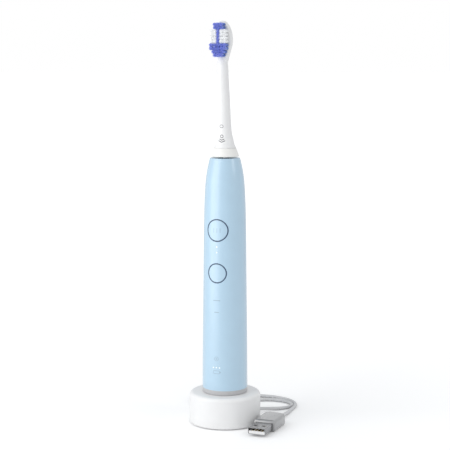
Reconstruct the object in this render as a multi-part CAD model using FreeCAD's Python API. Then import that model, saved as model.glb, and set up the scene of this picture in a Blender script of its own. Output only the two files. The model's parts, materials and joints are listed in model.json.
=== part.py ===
"""Electric toothbrush standing on its charger, with the charger's lead and plug.

Millimetres. The origin is the middle of the charger's resting face, +Z is up, and the
handle's front, with its two buttons, faces -Y. Heights are measured from the resting face.
"""

import FreeCAD, Part
import math
import os

V = FreeCAD.Vector
UP = V(0, 0, 1)

# ---- Clearances -------------------------------------------------------------------------
SEAT = 0.02  # between pieces of one body that sit in each other
RUNNING = 0.03  # radial, between the shaft and what it turns in
LOOSE = 0.3  # between pieces that only have to pass each other

# ---- Charger ----------------------------------------------------------------------------
CHARGER_DIAMETER = 48.5
CHARGER_HEIGHT = 21.5
CHARGER_WALL = 1.8
CHARGER_TOP_ROUND = 2.4
CHARGER_RIM_ROUND = 0.6
STAND_OFF = 0.7  # the foot ring holds the housing this far above the table
BASE_COVER_THICKNESS = 1.6
FOOT_RING_OUTER = 20.0
FOOT_RING_INNER = 17.0
FOOT_GROOVE_DEPTH = 0.7
PEG_DIAMETER = 9.4
PEG_HEIGHT = 12.5
PEG_WALL = 1.2
PEG_ROUND = 1.4
CORE_RADIUS = 1.9
COIL_WINDING = 1.2
BOARD_THICKNESS = 1.2
BOARD_POST_RADIUS = 2.0
BOARD_POST_HEIGHT = 4.2
BOARD_POST_CIRCLE = 14.0
BOARD_EDGE_GAP = 4.4
BOARD_SCREW_RADIUS = 0.8
BOARD_SCREW_HEAD = 1.7

# ---- Lead and plug ----------------------------------------------------------------------
CORD_DIAMETER = 2.4
EXIT_ANGLE = 62.5  # degrees from +X round to +Y
EXIT_HEIGHT = 3.4
BOOT_LENGTH = 6.0
BOOT_RADIUS = 2.1
BOOT_TIP_RADIUS = 1.6
BOOT_NECK_RADIUS = 1.8
BOOT_FLANGE_RADIUS = 2.5
BOOT_FLANGE_THICKNESS = 1.4
CORD_Z = CORD_DIAMETER / 2  # centre line of the cord where it lies on the table

COIL_X, COIL_Y = -24.2, 44.1
COIL_MIDDLE_RADIUS = 14.0
COIL_TURNS_WIDE = 4
COIL_TURNS_HIGH = 2

PLUG_ASIDE = 9.55  # from the charger's side to the middle of the plug
PLUG_REAR = 10.1
PLUG_BODY_LENGTH = 23.6
PLUG_BODY_WIDTH = 15.4
PLUG_BODY_HEIGHT = 7.6
PLUG_BODY_ROUND = 2.2
PLUG_Z = PLUG_BODY_HEIGHT / 2
SHELL_WIDTH = 12.0
SHELL_HEIGHT = 4.5
SHELL_WALL = 0.3
SHELL_LENGTH = 18.75
SHELL_EXPOSED = 14.0
TONGUE_HEIGHT = 1.9
CONTACT_WIDTH = 1.1
CONTACT_LENGTH = 8.0
CONTACT_THICKNESS = 0.12
CONTACT_PITCH = 2.25
CONTACT_COUNT = 4

# ---- Handle -----------------------------------------------------------------------------
HANDLE_DIAMETER = 30.6
HANDLE_LENGTH = 159.8
HANDLE_WALL = 1.8
HANDLE_TOP_WALL = 2.4
# Taper of the housing: share of its length above its foot, and share of the diameter there.
HANDLE_TAPER = [
    (0.000, 1.000),
    (0.230, 0.984),
    (0.470, 0.957),
    (0.690, 0.932),
    (0.810, 0.902),
    (0.875, 0.869),
    (0.925, 0.820),
    (0.965, 0.748),
    (1.000, 0.664),
]
END_CAP_RIM = 3.3
END_CAP_FLOOR = 2.0
END_CAP_SPIGOT = 8.5
END_CAP_SPIGOT_WALL = 1.8
END_CAP_ROUND = 0.7
WELL_CLEARANCE = 0.75
WELL_HEADROOM = 1.0
WELL_WALL = 1.2
SEAL_CORD_RADIUS = 0.65
RECEIVER_HEIGHT = 9.0
RECEIVER_CLEARANCE = 1.2  # between the bobbin and the end cap's spigot
BOBBIN_WALL = 0.4

CHASSIS_PLATE = 2.0
SPINE_THICKNESS = 1.5
SPINE_WIDTH = 10.0
CELL_LENGTH = 50.0
CELL_CAP_HEIGHT = 1.0
TAB_THICKNESS = 0.3
TAB_WIDTH = 6.0
MAIN_BOARD_THICKNESS = 1.0
MAIN_BOARD_GAP = 0.8
LAMP_DEPTH = 0.8
CHIP_DEPTH = 1.1
SWITCH_WIDTH = 4.6
SWITCH_DEPTH = 2.0
SWITCH_NIB_RADIUS = 1.2
SWITCH_NIB_DEPTH = 0.6
SWITCH_BELOW_BUTTON = 2.755  # from the back of a button's cap to its switch

POWER_BUTTON_BELOW_TOP = 47.5
POWER_RING_DIAMETER = 15.3
MODE_BUTTON_BELOW_TOP = 76.3
MODE_RING_DIAMETER = 13.6
RING_WIDTH = 0.7
BUTTON_DEPTH = 2.4
BUTTON_GAP = 0.1
BUTTON_STEM_RADIUS = 1.6
BUTTON_TRAVEL = 0.5
LIGHT_GUIDE_RADIUS = 0.5
INDICATORS_BELOW_TOP = [58.6, 62.3]
CHARGE_LAMPS_ABOVE_FOOT = 19.3
CHARGE_LAMP_PITCH = 2.2

# ---- Motor and shaft --------------------------------------------------------------------
MOTOR_LENGTH = 29.0
MOTOR_BELOW_TOP = 10.8  # from the handle's top down to the motor's upper face
MOTOR_CLEARANCE = 0.4
BRACKET_THICKNESS = 3.0
BRACKET_RIM = 1.4
BEARING_RADIUS = 3.6
BEARING_HEIGHT = 2.5
BEARING_SHOULDER = 2.4
STATOR_HEIGHT = 14.0
POLE_WIDTH = 5.6
POLE_GAP = 0.5
WINDING_THICKNESS = 1.4
ROTOR_HUB_RADIUS = 3.0
MAGNET_THICKNESS = 1.7
MAGNET_WIDTH = 5.6
MOTOR_SCREW_RADIUS = 0.7
MOTOR_SCREW_HEAD = 1.4
SHAFT_RADIUS = 1.8
SHAFT_ABOVE_HANDLE = 21.7
SHAFT_FLAT = 1.2  # from the axis to the flat at the shaft's upper end
SHAFT_FLAT_LENGTH = 17.0
SEAL_RADIUS = 4.2
SEAL_HEIGHT = 4.6
SEAL_POCKET_WALL = 1.6

# ---- Brush head -------------------------------------------------------------------------
SEAM = 0.9  # open gap between the handle and the brush head
COLLAR_RADIUS = 9.7
COLLAR_TOP_RADIUS = 7.6
COLLAR_HEIGHT = 5.7
SPIGOT_RADIUS = 5.4
CLIP_WALL = 0.6
HEAD_LENGTH = 89.8  # from the collar's foot to the tip of the head
# Sections of the neck: height above the collar, distance forward of the axis, radius.
NECK_SECTIONS = [
    (6.5, 0.3, 5.30),
    (16.1, 1.5, 4.72),
    (27.0, 2.3, 4.45),
    (38.0, 3.0, 4.15),
    (49.0, 3.8, 3.85),
    (62.0, 4.0, 3.00),
]
PLATE_HALF_WIDTH = 6.8
PLATE_LENGTH = 27.0
PLATE_FOOT_HALF_WIDTH = 3.3
PLATE_SHOULDER = 12.0  # rounding where the plate's sides turn towards the neck
PLATE_WIDEST = 13.0  # from the plate's top down to where it is widest
PLATE_FRONT = -6.3
PLATE_BACK = -1.8
PLATE_ROUND = 1.2
TUFT_RADIUS = 0.85
TUFT_PITCH = 2.1  # between tufts of one row
TUFT_ROW_PITCH = 2.25
TUFTS_IN_ROWS = (3, 4, 5, 5, 5, 5, 5, 5, 3, 3)  # from the lowest row up
TUFT_TOP_MARGIN = 2.45  # from the plate's top to the highest row
TUFT_SEAT = 2.6
TUFT_LENGTH = 6.6
TALL_TUFT_LENGTH = 7.4
ANCHOR_HEIGHT = 1.0
ANCHOR_WIDTH = 1.0
ANCHOR_THICKNESS = 0.25

# ---- Heights and radii that follow from the sizes above -----------------------------------
CHARGER_RADIUS = CHARGER_DIAMETER / 2
CHARGER_BORE = CHARGER_RADIUS - CHARGER_WALL
PEG_TOP = CHARGER_HEIGHT + PEG_HEIGHT
PEG_BORE = PEG_DIAMETER / 2 - PEG_WALL
COVER_TOP = STAND_OFF + BASE_COVER_THICKNESS
BOARD_Z = COVER_TOP + BOARD_POST_HEIGHT
HANDLE_TOP = CHARGER_HEIGHT + HANDLE_LENGTH
SHELL_FOOT = CHARGER_HEIGHT + END_CAP_RIM
WELL_RADIUS = PEG_DIAMETER / 2 + WELL_CLEARANCE
WELL_TOP = PEG_TOP + WELL_HEADROOM
WELL_CAP = WELL_TOP + WELL_WALL
MOTOR_TOP = HANDLE_TOP - MOTOR_BELOW_TOP
MOTOR_FOOT = MOTOR_TOP - MOTOR_LENGTH
SHAFT_TOP = HANDLE_TOP + SHAFT_ABOVE_HANDLE
COLLAR_FOOT = HANDLE_TOP + SEAM
COLLAR_TOP = COLLAR_FOOT + COLLAR_HEIGHT
HEAD_TOP = COLLAR_FOOT + HEAD_LENGTH
POWER_BUTTON_Z = HANDLE_TOP - POWER_BUTTON_BELOW_TOP
MODE_BUTTON_Z = HANDLE_TOP - MODE_BUTTON_BELOW_TOP


def outer_radius(height):
    """Outside radius of the handle at a height, from its taper."""
    share = (height - SHELL_FOOT) / (HANDLE_TOP - SHELL_FOOT)
    for (low, wide), (high, narrow) in zip(HANDLE_TAPER, HANDLE_TAPER[1:]):
        if share <= high:
            part = (share - low) / (high - low)
            return (wide + part * (narrow - wide)) * HANDLE_DIAMETER / 2
    return HANDLE_TAPER[-1][1] * HANDLE_DIAMETER / 2


def cavity_radius(height):
    """Inside radius of the handle at a height."""
    return outer_radius(height) - HANDLE_WALL


STATOR_RADIUS = cavity_radius(MOTOR_TOP) - MOTOR_CLEARANCE
UPPER_PLATE_Z = MOTOR_FOOT - CHASSIS_PLATE
LOWER_PLATE_Z = WELL_CAP + LOOSE
CELL_Z = LOWER_PLATE_Z + CHASSIS_PLATE + TAB_THICKNESS
MIDDLE_PLATE_Z = CELL_Z + CELL_LENGTH + CELL_CAP_HEIGHT + TAB_THICKNESS
CHASSIS_RADIUS = cavity_radius(MOTOR_FOOT) - LOOSE
SPINE_BACK = math.sqrt(CHASSIS_RADIUS**2 - (SPINE_WIDTH / 2) ** 2)
SPINE_FACE = SPINE_BACK - SPINE_THICKNESS
SWITCH_FACE = BUTTON_DEPTH + SWITCH_BELOW_BUTTON - outer_radius(POWER_BUTTON_Z)
MAIN_BOARD_FACE = SWITCH_FACE + SWITCH_DEPTH + SWITCH_NIB_DEPTH
MAIN_BOARD_BACK = MAIN_BOARD_FACE + MAIN_BOARD_THICKNESS
MAIN_BOARD_HALF_WIDTH = math.sqrt(CHASSIS_RADIUS**2 - MAIN_BOARD_FACE**2) - LOOSE
CELL_DIAMETER = SPINE_FACE - SEAT - MAIN_BOARD_BACK - MAIN_BOARD_GAP
CELL_Y = SPINE_FACE - SEAT - CELL_DIAMETER / 2
PLUG_X = CHARGER_RADIUS + PLUG_ASIDE
PLUG_FRONT = PLUG_REAR - PLUG_BODY_LENGTH

# ---- Route of the lead: from the charger's boot to the coil, then from the coil to the plug ----
EXIT_DIRECTION = V(math.cos(math.radians(EXIT_ANGLE)), math.sin(math.radians(EXIT_ANGLE)), 0)
BOOT_END = EXIT_DIRECTION * (CHARGER_RADIUS + BOOT_LENGTH) + UP * EXIT_HEIGHT
LEAD_ROUTE = [
    BOOT_END,
    V(18.7, 34.7, 2.0),
    V(25.7, 41.5, CORD_Z),
    V(29.3, 47.4, CORD_Z),
    V(28.9, 54.3, CORD_Z),
    V(24.7, 59.8, CORD_Z),
    V(18.0, 61.8, CORD_Z),
    V(8.9, 60.8, CORD_Z),
    V(1.9, 56.4, CORD_Z),
    V(-0.9, 48.6, CORD_Z),
    V(-1.9, 39.6, CORD_Z),
    V(-7.4, 32.0, CORD_Z),
    V(-17.5, 27.8, CORD_Z),
]
PLUG_ROUTE = [
    V(-30.9, 60.4, 3.6),
    V(-21.0, 64.5, 3.4),
    V(-11.0, 66.4, 2.0),
    V(-0.9, 68.2, CORD_Z),
    V(8.8, 69.7, CORD_Z),
    V(17.5, 68.1, CORD_Z),
    V(25.6, 64.3, CORD_Z),
    V(31.3, 57.7, CORD_Z),
    V(33.3, 49.7, CORD_Z),
    V(33.5, 40.9, CORD_Z),
    V(34.3, 31.1, 1.3),
    V(34.2, 21.0, 2.3),
    V(PLUG_X, PLUG_REAR, PLUG_Z),
]


# ---- Helpers ------------------------------------------------------------------------------
def rounded_edges(corners, radii, closed):
    """Straight edges through the corners, joined by tangent arcs. A radius of 0 leaves a corner sharp."""
    count = len(corners)
    trims = []
    for i, corner in enumerate(corners):
        if radii[i] == 0 or (not closed and i in (0, count - 1)):
            trims.append((corner, None, corner))
            continue
        back = (corners[i - 1] - corner).normalize()
        ahead = (corners[(i + 1) % count] - corner).normalize()
        half = back.getAngle(ahead) / 2
        inward = (back + ahead).normalize()
        middle = corner + inward * (radii[i] / math.sin(half) - radii[i])
        reach = radii[i] / math.tan(half)
        trims.append((corner + back * reach, middle, corner + ahead * reach))
    edges = []
    for i, (start, middle, end) in enumerate(trims):
        if middle is not None:
            edges.append(Part.Arc(start, middle, end).toShape())
        if closed or i < count - 1:
            following = trims[(i + 1) % count][0]
            if (following - end).Length > 1e-6:
                edges.append(Part.LineSegment(end, following).toShape())
    return edges


def rounded_face(points, lift):
    """Flat face inside (a, b, round) corners, each placed in space by lift(a, b)."""
    corners = [lift(p[0], p[1]) for p in points]
    radii = [p[2] if len(p) > 2 else 0 for p in points]
    return Part.Face(Part.Wire(rounded_edges(corners, radii, True)))


def turned(points):
    """Solid turned about Z from a closed outline of (radius, height, round) corners."""
    face = rounded_face(points, lambda radius, height: V(radius, 0, height))
    return face.revolve(V(0, 0, 0), UP, 360)


def spline(points):
    """Smooth edge through the points."""
    curve = Part.BSplineCurve()
    curve.interpolate(points)
    return curve.toShape()


def cylinder(radius, bottom, top, x=0, y=0):
    return Part.makeCylinder(radius, top - bottom, V(x, y, bottom), UP)


def ring(outer, inner, bottom, top):
    return cylinder(outer, bottom, top).cut(cylinder(inner, bottom, top))


def rod(radius, start, end):
    """Round rod from one point to another."""
    return Part.makeCylinder(radius, (end - start).Length, start, end - start)


def block(x_range, y_range, z_range):
    low = V(x_range[0], y_range[0], z_range[0])
    size = [span[1] - span[0] for span in (x_range, y_range, z_range)]
    return Part.makeBox(*size, low)


def centred(middle, width):
    """Range of a width about its middle."""
    return (middle - width / 2, middle + width / 2)


def joined(shapes):
    """One solid from overlapping shapes."""
    whole = shapes[0].fuse(shapes[1:])
    return whole.removeSplitter()


def save(name, shape):
    if not shape.isValid():
        raise ValueError(f"{name} is not a valid shape")
    shape.exportStep(os.path.join("parts", f"{name}.step"))


# ---- Charger ------------------------------------------------------------------------------
def boot_profile(extra):
    """Strain relief along +Z from the axis of the charger, grown all round by extra."""
    flange_face = math.sqrt(CHARGER_BORE**2 - BOOT_FLANGE_RADIUS**2) - SEAT
    flange = flange_face - BOOT_FLANGE_THICKNESS
    wall_face = CHARGER_RADIUS + SEAT
    return turned(
        [
            (0, flange - extra),
            (BOOT_FLANGE_RADIUS + extra, flange - extra),
            (BOOT_FLANGE_RADIUS + extra, flange_face + extra),
            (BOOT_NECK_RADIUS + extra, flange_face + extra),
            (BOOT_NECK_RADIUS + extra, wall_face),
            (BOOT_RADIUS + extra, wall_face),
            (BOOT_TIP_RADIUS + extra, CHARGER_RADIUS + BOOT_LENGTH),
            (0, CHARGER_RADIUS + BOOT_LENGTH),
        ]
    )


def laid_to_exit(shape):
    """Turn a shape from +Z to the direction in which the lead leaves, at the lead's height."""
    shape.rotate(V(0, 0, 0), V(0, 1, 0), 90)
    shape.rotate(V(0, 0, 0), UP, EXIT_ANGLE)
    shape.translate(UP * EXIT_HEIGHT)
    return shape


def charger_housing():
    skin = turned(
        [
            (CHARGER_BORE, STAND_OFF),
            (CHARGER_RADIUS, STAND_OFF, CHARGER_RIM_ROUND),
            (CHARGER_RADIUS, CHARGER_HEIGHT, CHARGER_TOP_ROUND),
            (PEG_DIAMETER / 2, CHARGER_HEIGHT),
            (PEG_DIAMETER / 2, PEG_TOP, PEG_ROUND),
            (0, PEG_TOP),
            (0, PEG_TOP - PEG_WALL),
            (PEG_BORE, PEG_TOP - PEG_WALL),
            (PEG_BORE, CHARGER_HEIGHT - CHARGER_WALL),
            (CHARGER_BORE, CHARGER_HEIGHT - CHARGER_WALL),
        ]
    )
    hole = laid_to_exit(cylinder(BOOT_NECK_RADIUS + SEAT, CHARGER_BORE - 2, CHARGER_RADIUS + 2))
    return skin.cut(hole)


def post_places():
    """Middles of the three posts that carry the charger's board."""
    for step in range(3):
        angle = math.radians(EXIT_ANGLE + 180 + 120 * step)
        yield BOARD_POST_CIRCLE * math.cos(angle), BOARD_POST_CIRCLE * math.sin(angle)


def charger_base_cover():
    disc = cylinder(CHARGER_BORE - SEAT, STAND_OFF, COVER_TOP)
    posts = [cylinder(BOARD_POST_RADIUS, STAND_OFF, BOARD_Z, x, y) for x, y in post_places()]
    cover = joined([disc] + posts)
    groove = ring(FOOT_RING_OUTER + SEAT, FOOT_RING_INNER - SEAT, STAND_OFF, STAND_OFF + FOOT_GROOVE_DEPTH)
    cover = cover.cut(groove).cut(laid_to_exit(boot_profile(LOOSE)))
    for x, y in post_places():
        cover = cover.cut(cylinder(BOARD_SCREW_RADIUS, COVER_TOP, BOARD_Z, x, y))
    return cover


def foot_ring():
    return turned(
        [
            (FOOT_RING_INNER, 0, 0.3),
            (FOOT_RING_OUTER, 0, 0.3),
            (FOOT_RING_OUTER, STAND_OFF + FOOT_GROOVE_DEPTH),
            (FOOT_RING_INNER, STAND_OFF + FOOT_GROOVE_DEPTH),
        ]
    )


def charging_core():
    return cylinder(CORE_RADIUS, BOARD_Z + BOARD_THICKNESS, PEG_TOP - PEG_WALL - LOOSE)


def primary_coil():
    outer = min(CORE_RADIUS + COIL_WINDING, PEG_BORE - SEAT)
    return ring(outer, CORE_RADIUS + SEAT, CHARGER_HEIGHT - CHARGER_WALL, PEG_TOP - PEG_WALL - LOOSE)


def charger_board():
    board = cylinder(CHARGER_BORE - BOARD_EDGE_GAP, BOARD_Z, BOARD_Z + BOARD_THICKNESS)
    for x, y in post_places():
        board = board.cut(cylinder(BOARD_SCREW_RADIUS + SEAT, BOARD_Z, BOARD_Z + BOARD_THICKNESS, x, y))
    return board


def charger_board_parts():
    """Capacitor, choke, control chip and bridge on top of the charger's board."""
    top = BOARD_Z + BOARD_THICKNESS
    return Part.makeCompound(
        [
            cylinder(2.6, top, top + 6.5, 9.5, 1.5),
            cylinder(3.2, top, top + 4.0, -9.5, 2.5),
            block(centred(-1.5, 5.0), centred(-8.5, 4.0), (top, top + 1.4)),
            block(centred(7.5, 3.0), centred(-7.5, 4.5), (top, top + 1.8)),
        ]
    )


def charger_board_screws():
    screws = []
    head = BOARD_Z + BOARD_THICKNESS
    for x, y in post_places():
        shank = cylinder(BOARD_SCREW_RADIUS, COVER_TOP, head, x, y)
        screws.append(joined([shank, cylinder(BOARD_SCREW_HEAD, head, head + 1.0, x, y)]))
    return Part.makeCompound(screws)


# ---- Lead and plug --------------------------------------------------------------------------
def corner_radii(route):
    """Radius of the arc at each inner point: as large as its two runs allow."""
    radii = [0]
    for before, point, after in zip(route, route[1:], route[2:]):
        shorter = min((point - before).Length, (after - point).Length)
        turn = (point - before).getAngle(after - point)
        radii.append(0.45 * shorter / math.tan(turn / 2))
    return radii + [0]


def cord_tube(name, route):
    """Round tube along straight runs joined by tangent arcs."""
    radii = corner_radii(route)
    spine = Part.Wire(rounded_edges(route, radii, False))
    section = Part.Wire(Part.Circle(route[0], route[1] - route[0], CORD_DIAMETER / 2).toShape())
    tube = spine.makePipeShell([section], True, False)
    area = math.pi * CORD_DIAMETER**2 / 4
    print(
        f"{name}: smallest radius {min(radii[1:-1]):.1f}, length {spine.Length:.1f},"
        f" volume over section times length {tube.Volume / (area * spine.Length):.4f}"
    )
    return tube


def cord_coil():
    half_width = COIL_TURNS_WIDE * CORD_DIAMETER / 2
    height = COIL_TURNS_HIGH * CORD_DIAMETER
    coil = turned(
        [
            (COIL_MIDDLE_RADIUS - half_width, 0, 1.0),
            (COIL_MIDDLE_RADIUS + half_width, 0, 1.0),
            (COIL_MIDDLE_RADIUS + half_width, height, 1.0),
            (COIL_MIDDLE_RADIUS - half_width, height, 1.0),
        ]
    )
    coil.translate(V(COIL_X, COIL_Y, 0))
    return coil


def along_y(width, height, corner_round, start, end):
    """Rounded bar along Y, centred on the plug's axis."""
    side, top = width / 2, height / 2
    outline = [
        (-side, -top, corner_round),
        (side, -top, corner_round),
        (side, top, corner_round),
        (-side, top, corner_round),
    ]
    face = rounded_face(outline, lambda x, z: V(PLUG_X + x, start, PLUG_Z + z))
    return face.extrude(V(0, end - start, 0))


def shell_tail():
    return PLUG_FRONT + SHELL_LENGTH - SHELL_EXPOSED


def plug_shell():
    mouth = PLUG_FRONT - SHELL_EXPOSED
    outside = along_y(SHELL_WIDTH, SHELL_HEIGHT, 0.5, mouth, shell_tail())
    inside = along_y(
        SHELL_WIDTH - 2 * SHELL_WALL, SHELL_HEIGHT - 2 * SHELL_WALL, 0.3, mouth, shell_tail()
    )
    return outside.cut(inside)


def plug_body():
    body = along_y(PLUG_BODY_WIDTH, PLUG_BODY_HEIGHT, PLUG_BODY_ROUND, PLUG_FRONT, PLUG_REAR)
    ends = [e for e in body.Edges if abs(e.BoundBox.YMax - PLUG_REAR) < 1e-6 and e.BoundBox.YLength < 1e-6]
    body = body.makeFillet(1.6, ends)
    pocket = along_y(
        SHELL_WIDTH + 2 * SEAT, SHELL_HEIGHT + 2 * SEAT, 0.5 + SEAT, PLUG_FRONT, shell_tail() + SEAT
    )
    return body.cut(pocket)


def tongue_top():
    return PLUG_Z - SHELL_HEIGHT / 2 + SHELL_WALL + SEAT + TONGUE_HEIGHT


def plug_tongue():
    half = SHELL_WIDTH / 2 - SHELL_WALL - 2 * SEAT
    low = PLUG_Z - SHELL_HEIGHT / 2 + SHELL_WALL + SEAT
    mouth = PLUG_FRONT - SHELL_EXPOSED
    tongue = block(centred(PLUG_X, 2 * half), (mouth + 0.3, shell_tail()), (low, tongue_top()))
    corners = [e for e in tongue.Edges if e.BoundBox.YLength > 1]
    return tongue.makeFillet(0.35, corners)


def plug_contacts():
    start = PLUG_FRONT - SHELL_EXPOSED + 1.2
    first = PLUG_X - CONTACT_PITCH * (CONTACT_COUNT - 1) / 2
    return Part.makeCompound(
        [
            block(
                centred(first + CONTACT_PITCH * step, CONTACT_WIDTH),
                (start, start + CONTACT_LENGTH),
                (tongue_top(), tongue_top() + CONTACT_THICKNESS),
            )
            for step in range(CONTACT_COUNT)
        ]
    )


# ---- Handle ---------------------------------------------------------------------------------
def wall_points(inset, top):
    """Points of the housing's taper, drawn in by inset, from its foot up to a height."""
    length = HANDLE_TOP - SHELL_FOOT
    heights = [(SHELL_FOOT + along * length, share) for along, share in HANDLE_TAPER]
    points = [V(share * HANDLE_DIAMETER / 2 - inset, 0, z) for z, share in heights if z < top - 1]
    return points + [V(outer_radius(top) - inset, 0, top)]


def polyline(points):
    """Straight edges through the points, in order."""
    return [Part.LineSegment(a, b).toShape() for a, b in zip(points, points[1:])]


def barrel(inset, top):
    """Solid body of the housing's taper, drawn in by inset, up to a height."""
    side = wall_points(inset, top)
    closing = polyline([side[-1], V(0, 0, top), V(0, 0, SHELL_FOOT), side[0]])
    return Part.Face(Part.Wire([spline(side)] + closing)).revolve(V(0, 0, 0), UP, 360)


def forward_rod(radius, x, height, back):
    """Rod along Y at a height, from back out past the handle's front."""
    return rod(radius, V(x, back, height), V(x, -HANDLE_DIAMETER, height))


def light_places():
    """Place (x, height) of each light guide on the handle's front."""
    charge_lamps = CHARGER_HEIGHT + CHARGE_LAMPS_ABOVE_FOOT
    places = [(0, HANDLE_TOP - below) for below in INDICATORS_BELOW_TOP]
    return places + [(step * CHARGE_LAMP_PITCH, charge_lamps) for step in (-1, 0, 1)]


def seal_foot():
    return HANDLE_TOP - SEAL_HEIGHT


def cavity_top():
    return HANDLE_TOP - HANDLE_TOP_WALL


def handle_housing():
    """Barrel with a hole for the shaft on top, and a pocket below it that holds the seal."""
    outside = wall_points(0, HANDLE_TOP)
    inside = wall_points(HANDLE_WALL, cavity_top())
    lip = seal_foot() - SEAL_POCKET_WALL
    seat, hole = SEAL_RADIUS + SEAT, SHAFT_RADIUS + LOOSE
    pocket_side = SEAL_RADIUS + SEAL_POCKET_WALL
    corners = [(seat, HANDLE_TOP), (seat, seal_foot()), (hole, seal_foot()), (hole, lip)]
    corners += [(pocket_side, lip), (pocket_side, cavity_top())]
    top = polyline([outside[-1]] + [V(radius, 0, z) for radius, z in corners] + [inside[-1]])
    foot = polyline([inside[0], outside[0]])
    outline = Part.Wire([spline(outside)] + top + [spline(inside)] + foot)
    shell = Part.Face(outline).revolve(V(0, 0, 0), UP, 360)
    for height, diameter in (
        (POWER_BUTTON_Z, POWER_RING_DIAMETER),
        (MODE_BUTTON_Z, MODE_RING_DIAMETER),
    ):
        shell = shell.cut(forward_rod(diameter / 2 + SEAT, 0, height, 0))
    for x, height in light_places():
        shell = shell.cut(forward_rod(LIGHT_GUIDE_RADIUS + SEAT, x, height, 0))
    return shell


def button_ring(height, diameter):
    band = forward_rod(diameter / 2, 0, height, 0).cut(
        forward_rod(diameter / 2 - RING_WIDTH, 0, height, 0)
    )
    return band.common(barrel(0, HANDLE_TOP)).cut(barrel(HANDLE_WALL, cavity_top()))


def button(height, diameter):
    radius = diameter / 2 - RING_WIDTH - BUTTON_GAP
    back = BUTTON_DEPTH - outer_radius(height)
    cap = forward_rod(radius, 0, height, back).common(barrel(0, HANDLE_TOP))
    stem_end = SWITCH_FACE - BUTTON_TRAVEL - 0.05
    stem = rod(BUTTON_STEM_RADIUS, V(0, stem_end, height), V(0, back - 0.5, height))
    return joined([cap, stem])


def light_guides():
    outside = barrel(0, HANDLE_TOP)
    back = MAIN_BOARD_FACE - LAMP_DEPTH - 0.1
    rods = [forward_rod(LIGHT_GUIDE_RADIUS, x, height, back) for x, height in light_places()]
    return Part.makeCompound([guide.common(outside) for guide in rods])


def spigot_top():
    return SHELL_FOOT + END_CAP_SPIGOT


def spigot_radius():
    return cavity_radius(spigot_top()) - 2 * SEAT


def seal_height():
    return SHELL_FOOT + END_CAP_SPIGOT / 2


def end_cap():
    spigot = spigot_radius()
    groove = SEAL_CORD_RADIUS + 0.1
    groove_depth = spigot - 2 * SEAL_CORD_RADIUS + 2 * SEAT
    floor = CHARGER_HEIGHT + END_CAP_FLOOR
    rim = outer_radius(SHELL_FOOT)
    return turned(
        [
            (WELL_RADIUS, CHARGER_HEIGHT, 0.4),
            (HANDLE_DIAMETER / 2, CHARGER_HEIGHT, END_CAP_ROUND),
            (rim, SHELL_FOOT),
            (spigot, SHELL_FOOT),
            (spigot, seal_height() - groove),
            (groove_depth, seal_height() - groove),
            (groove_depth, seal_height() + groove),
            (spigot, seal_height() + groove),
            (spigot, spigot_top()),
            (spigot - END_CAP_SPIGOT_WALL, spigot_top()),
            (spigot - END_CAP_SPIGOT_WALL, floor),
            (WELL_RADIUS + WELL_WALL, floor),
            (WELL_RADIUS + WELL_WALL, WELL_CAP),
            (0, WELL_CAP),
            (0, WELL_TOP),
            (WELL_RADIUS, WELL_TOP),
        ]
    )


def end_cap_seal():
    radius = spigot_radius() + 2 * SEAT - SEAL_CORD_RADIUS
    return Part.makeTorus(radius, SEAL_CORD_RADIUS, V(0, 0, seal_height()), UP)


def bobbin_flange():
    return spigot_radius() - END_CAP_SPIGOT_WALL - RECEIVER_CLEARANCE


def receiver_bobbin():
    inner = WELL_RADIUS + WELL_WALL + SEAT
    low = CHARGER_HEIGHT + END_CAP_FLOOR
    high = low + RECEIVER_HEIGHT
    core, flange = inner + BOBBIN_WALL, bobbin_flange()
    return turned(
        [
            (inner, low),
            (flange, low),
            (flange, low + BOBBIN_WALL),
            (core, low + BOBBIN_WALL),
            (core, high - BOBBIN_WALL),
            (flange, high - BOBBIN_WALL),
            (flange, high),
            (inner, high),
        ]
    )


def receiver_coil():
    core = WELL_RADIUS + WELL_WALL + SEAT + BOBBIN_WALL
    low = CHARGER_HEIGHT + END_CAP_FLOOR + BOBBIN_WALL
    high = low + RECEIVER_HEIGHT - 2 * BOBBIN_WALL
    return ring(bobbin_flange() - LOOSE, core + SEAT, low + SEAT, high - SEAT)


def chassis():
    """Three plates on a spine, cut flat in front where the main board lies against them."""
    plates = [
        cylinder(cavity_radius(z + CHASSIS_PLATE) - LOOSE, z, z + CHASSIS_PLATE)
        for z in (LOWER_PLATE_Z, MIDDLE_PLATE_Z, UPPER_PLATE_Z)
    ]
    spine = block(centred(0, SPINE_WIDTH), (SPINE_FACE, SPINE_BACK), (LOWER_PLATE_Z, MOTOR_FOOT))
    frame = joined(plates + [spine])
    reach = HANDLE_DIAMETER
    front = block((-reach, reach), (-reach, MAIN_BOARD_BACK + SEAT), (LOWER_PLATE_Z, MOTOR_FOOT))
    return frame.cut(front)


def battery_cell():
    can = cylinder(CELL_DIAMETER / 2, CELL_Z, CELL_Z + CELL_LENGTH, 0, CELL_Y)
    tip = cylinder(CELL_DIAMETER / 4.5, CELL_Z, CELL_Z + CELL_LENGTH + CELL_CAP_HEIGHT, 0, CELL_Y)
    return joined([can, tip])


def battery_tabs():
    tabs = []
    for z in (CELL_Z - TAB_THICKNESS, CELL_Z + CELL_LENGTH + CELL_CAP_HEIGHT):
        tabs.append(
            block(
                centred(0, TAB_WIDTH),
                (MAIN_BOARD_BACK + SEAT, CELL_Y + TAB_WIDTH / 2),
                (z, z + TAB_THICKNESS),
            )
        )
    return Part.makeCompound(tabs)


def main_circuit_board():
    return block(
        (-MAIN_BOARD_HALF_WIDTH, MAIN_BOARD_HALF_WIDTH),
        (MAIN_BOARD_FACE, MAIN_BOARD_BACK),
        (LOWER_PLATE_Z, MOTOR_FOOT - LOOSE),
    )


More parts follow.
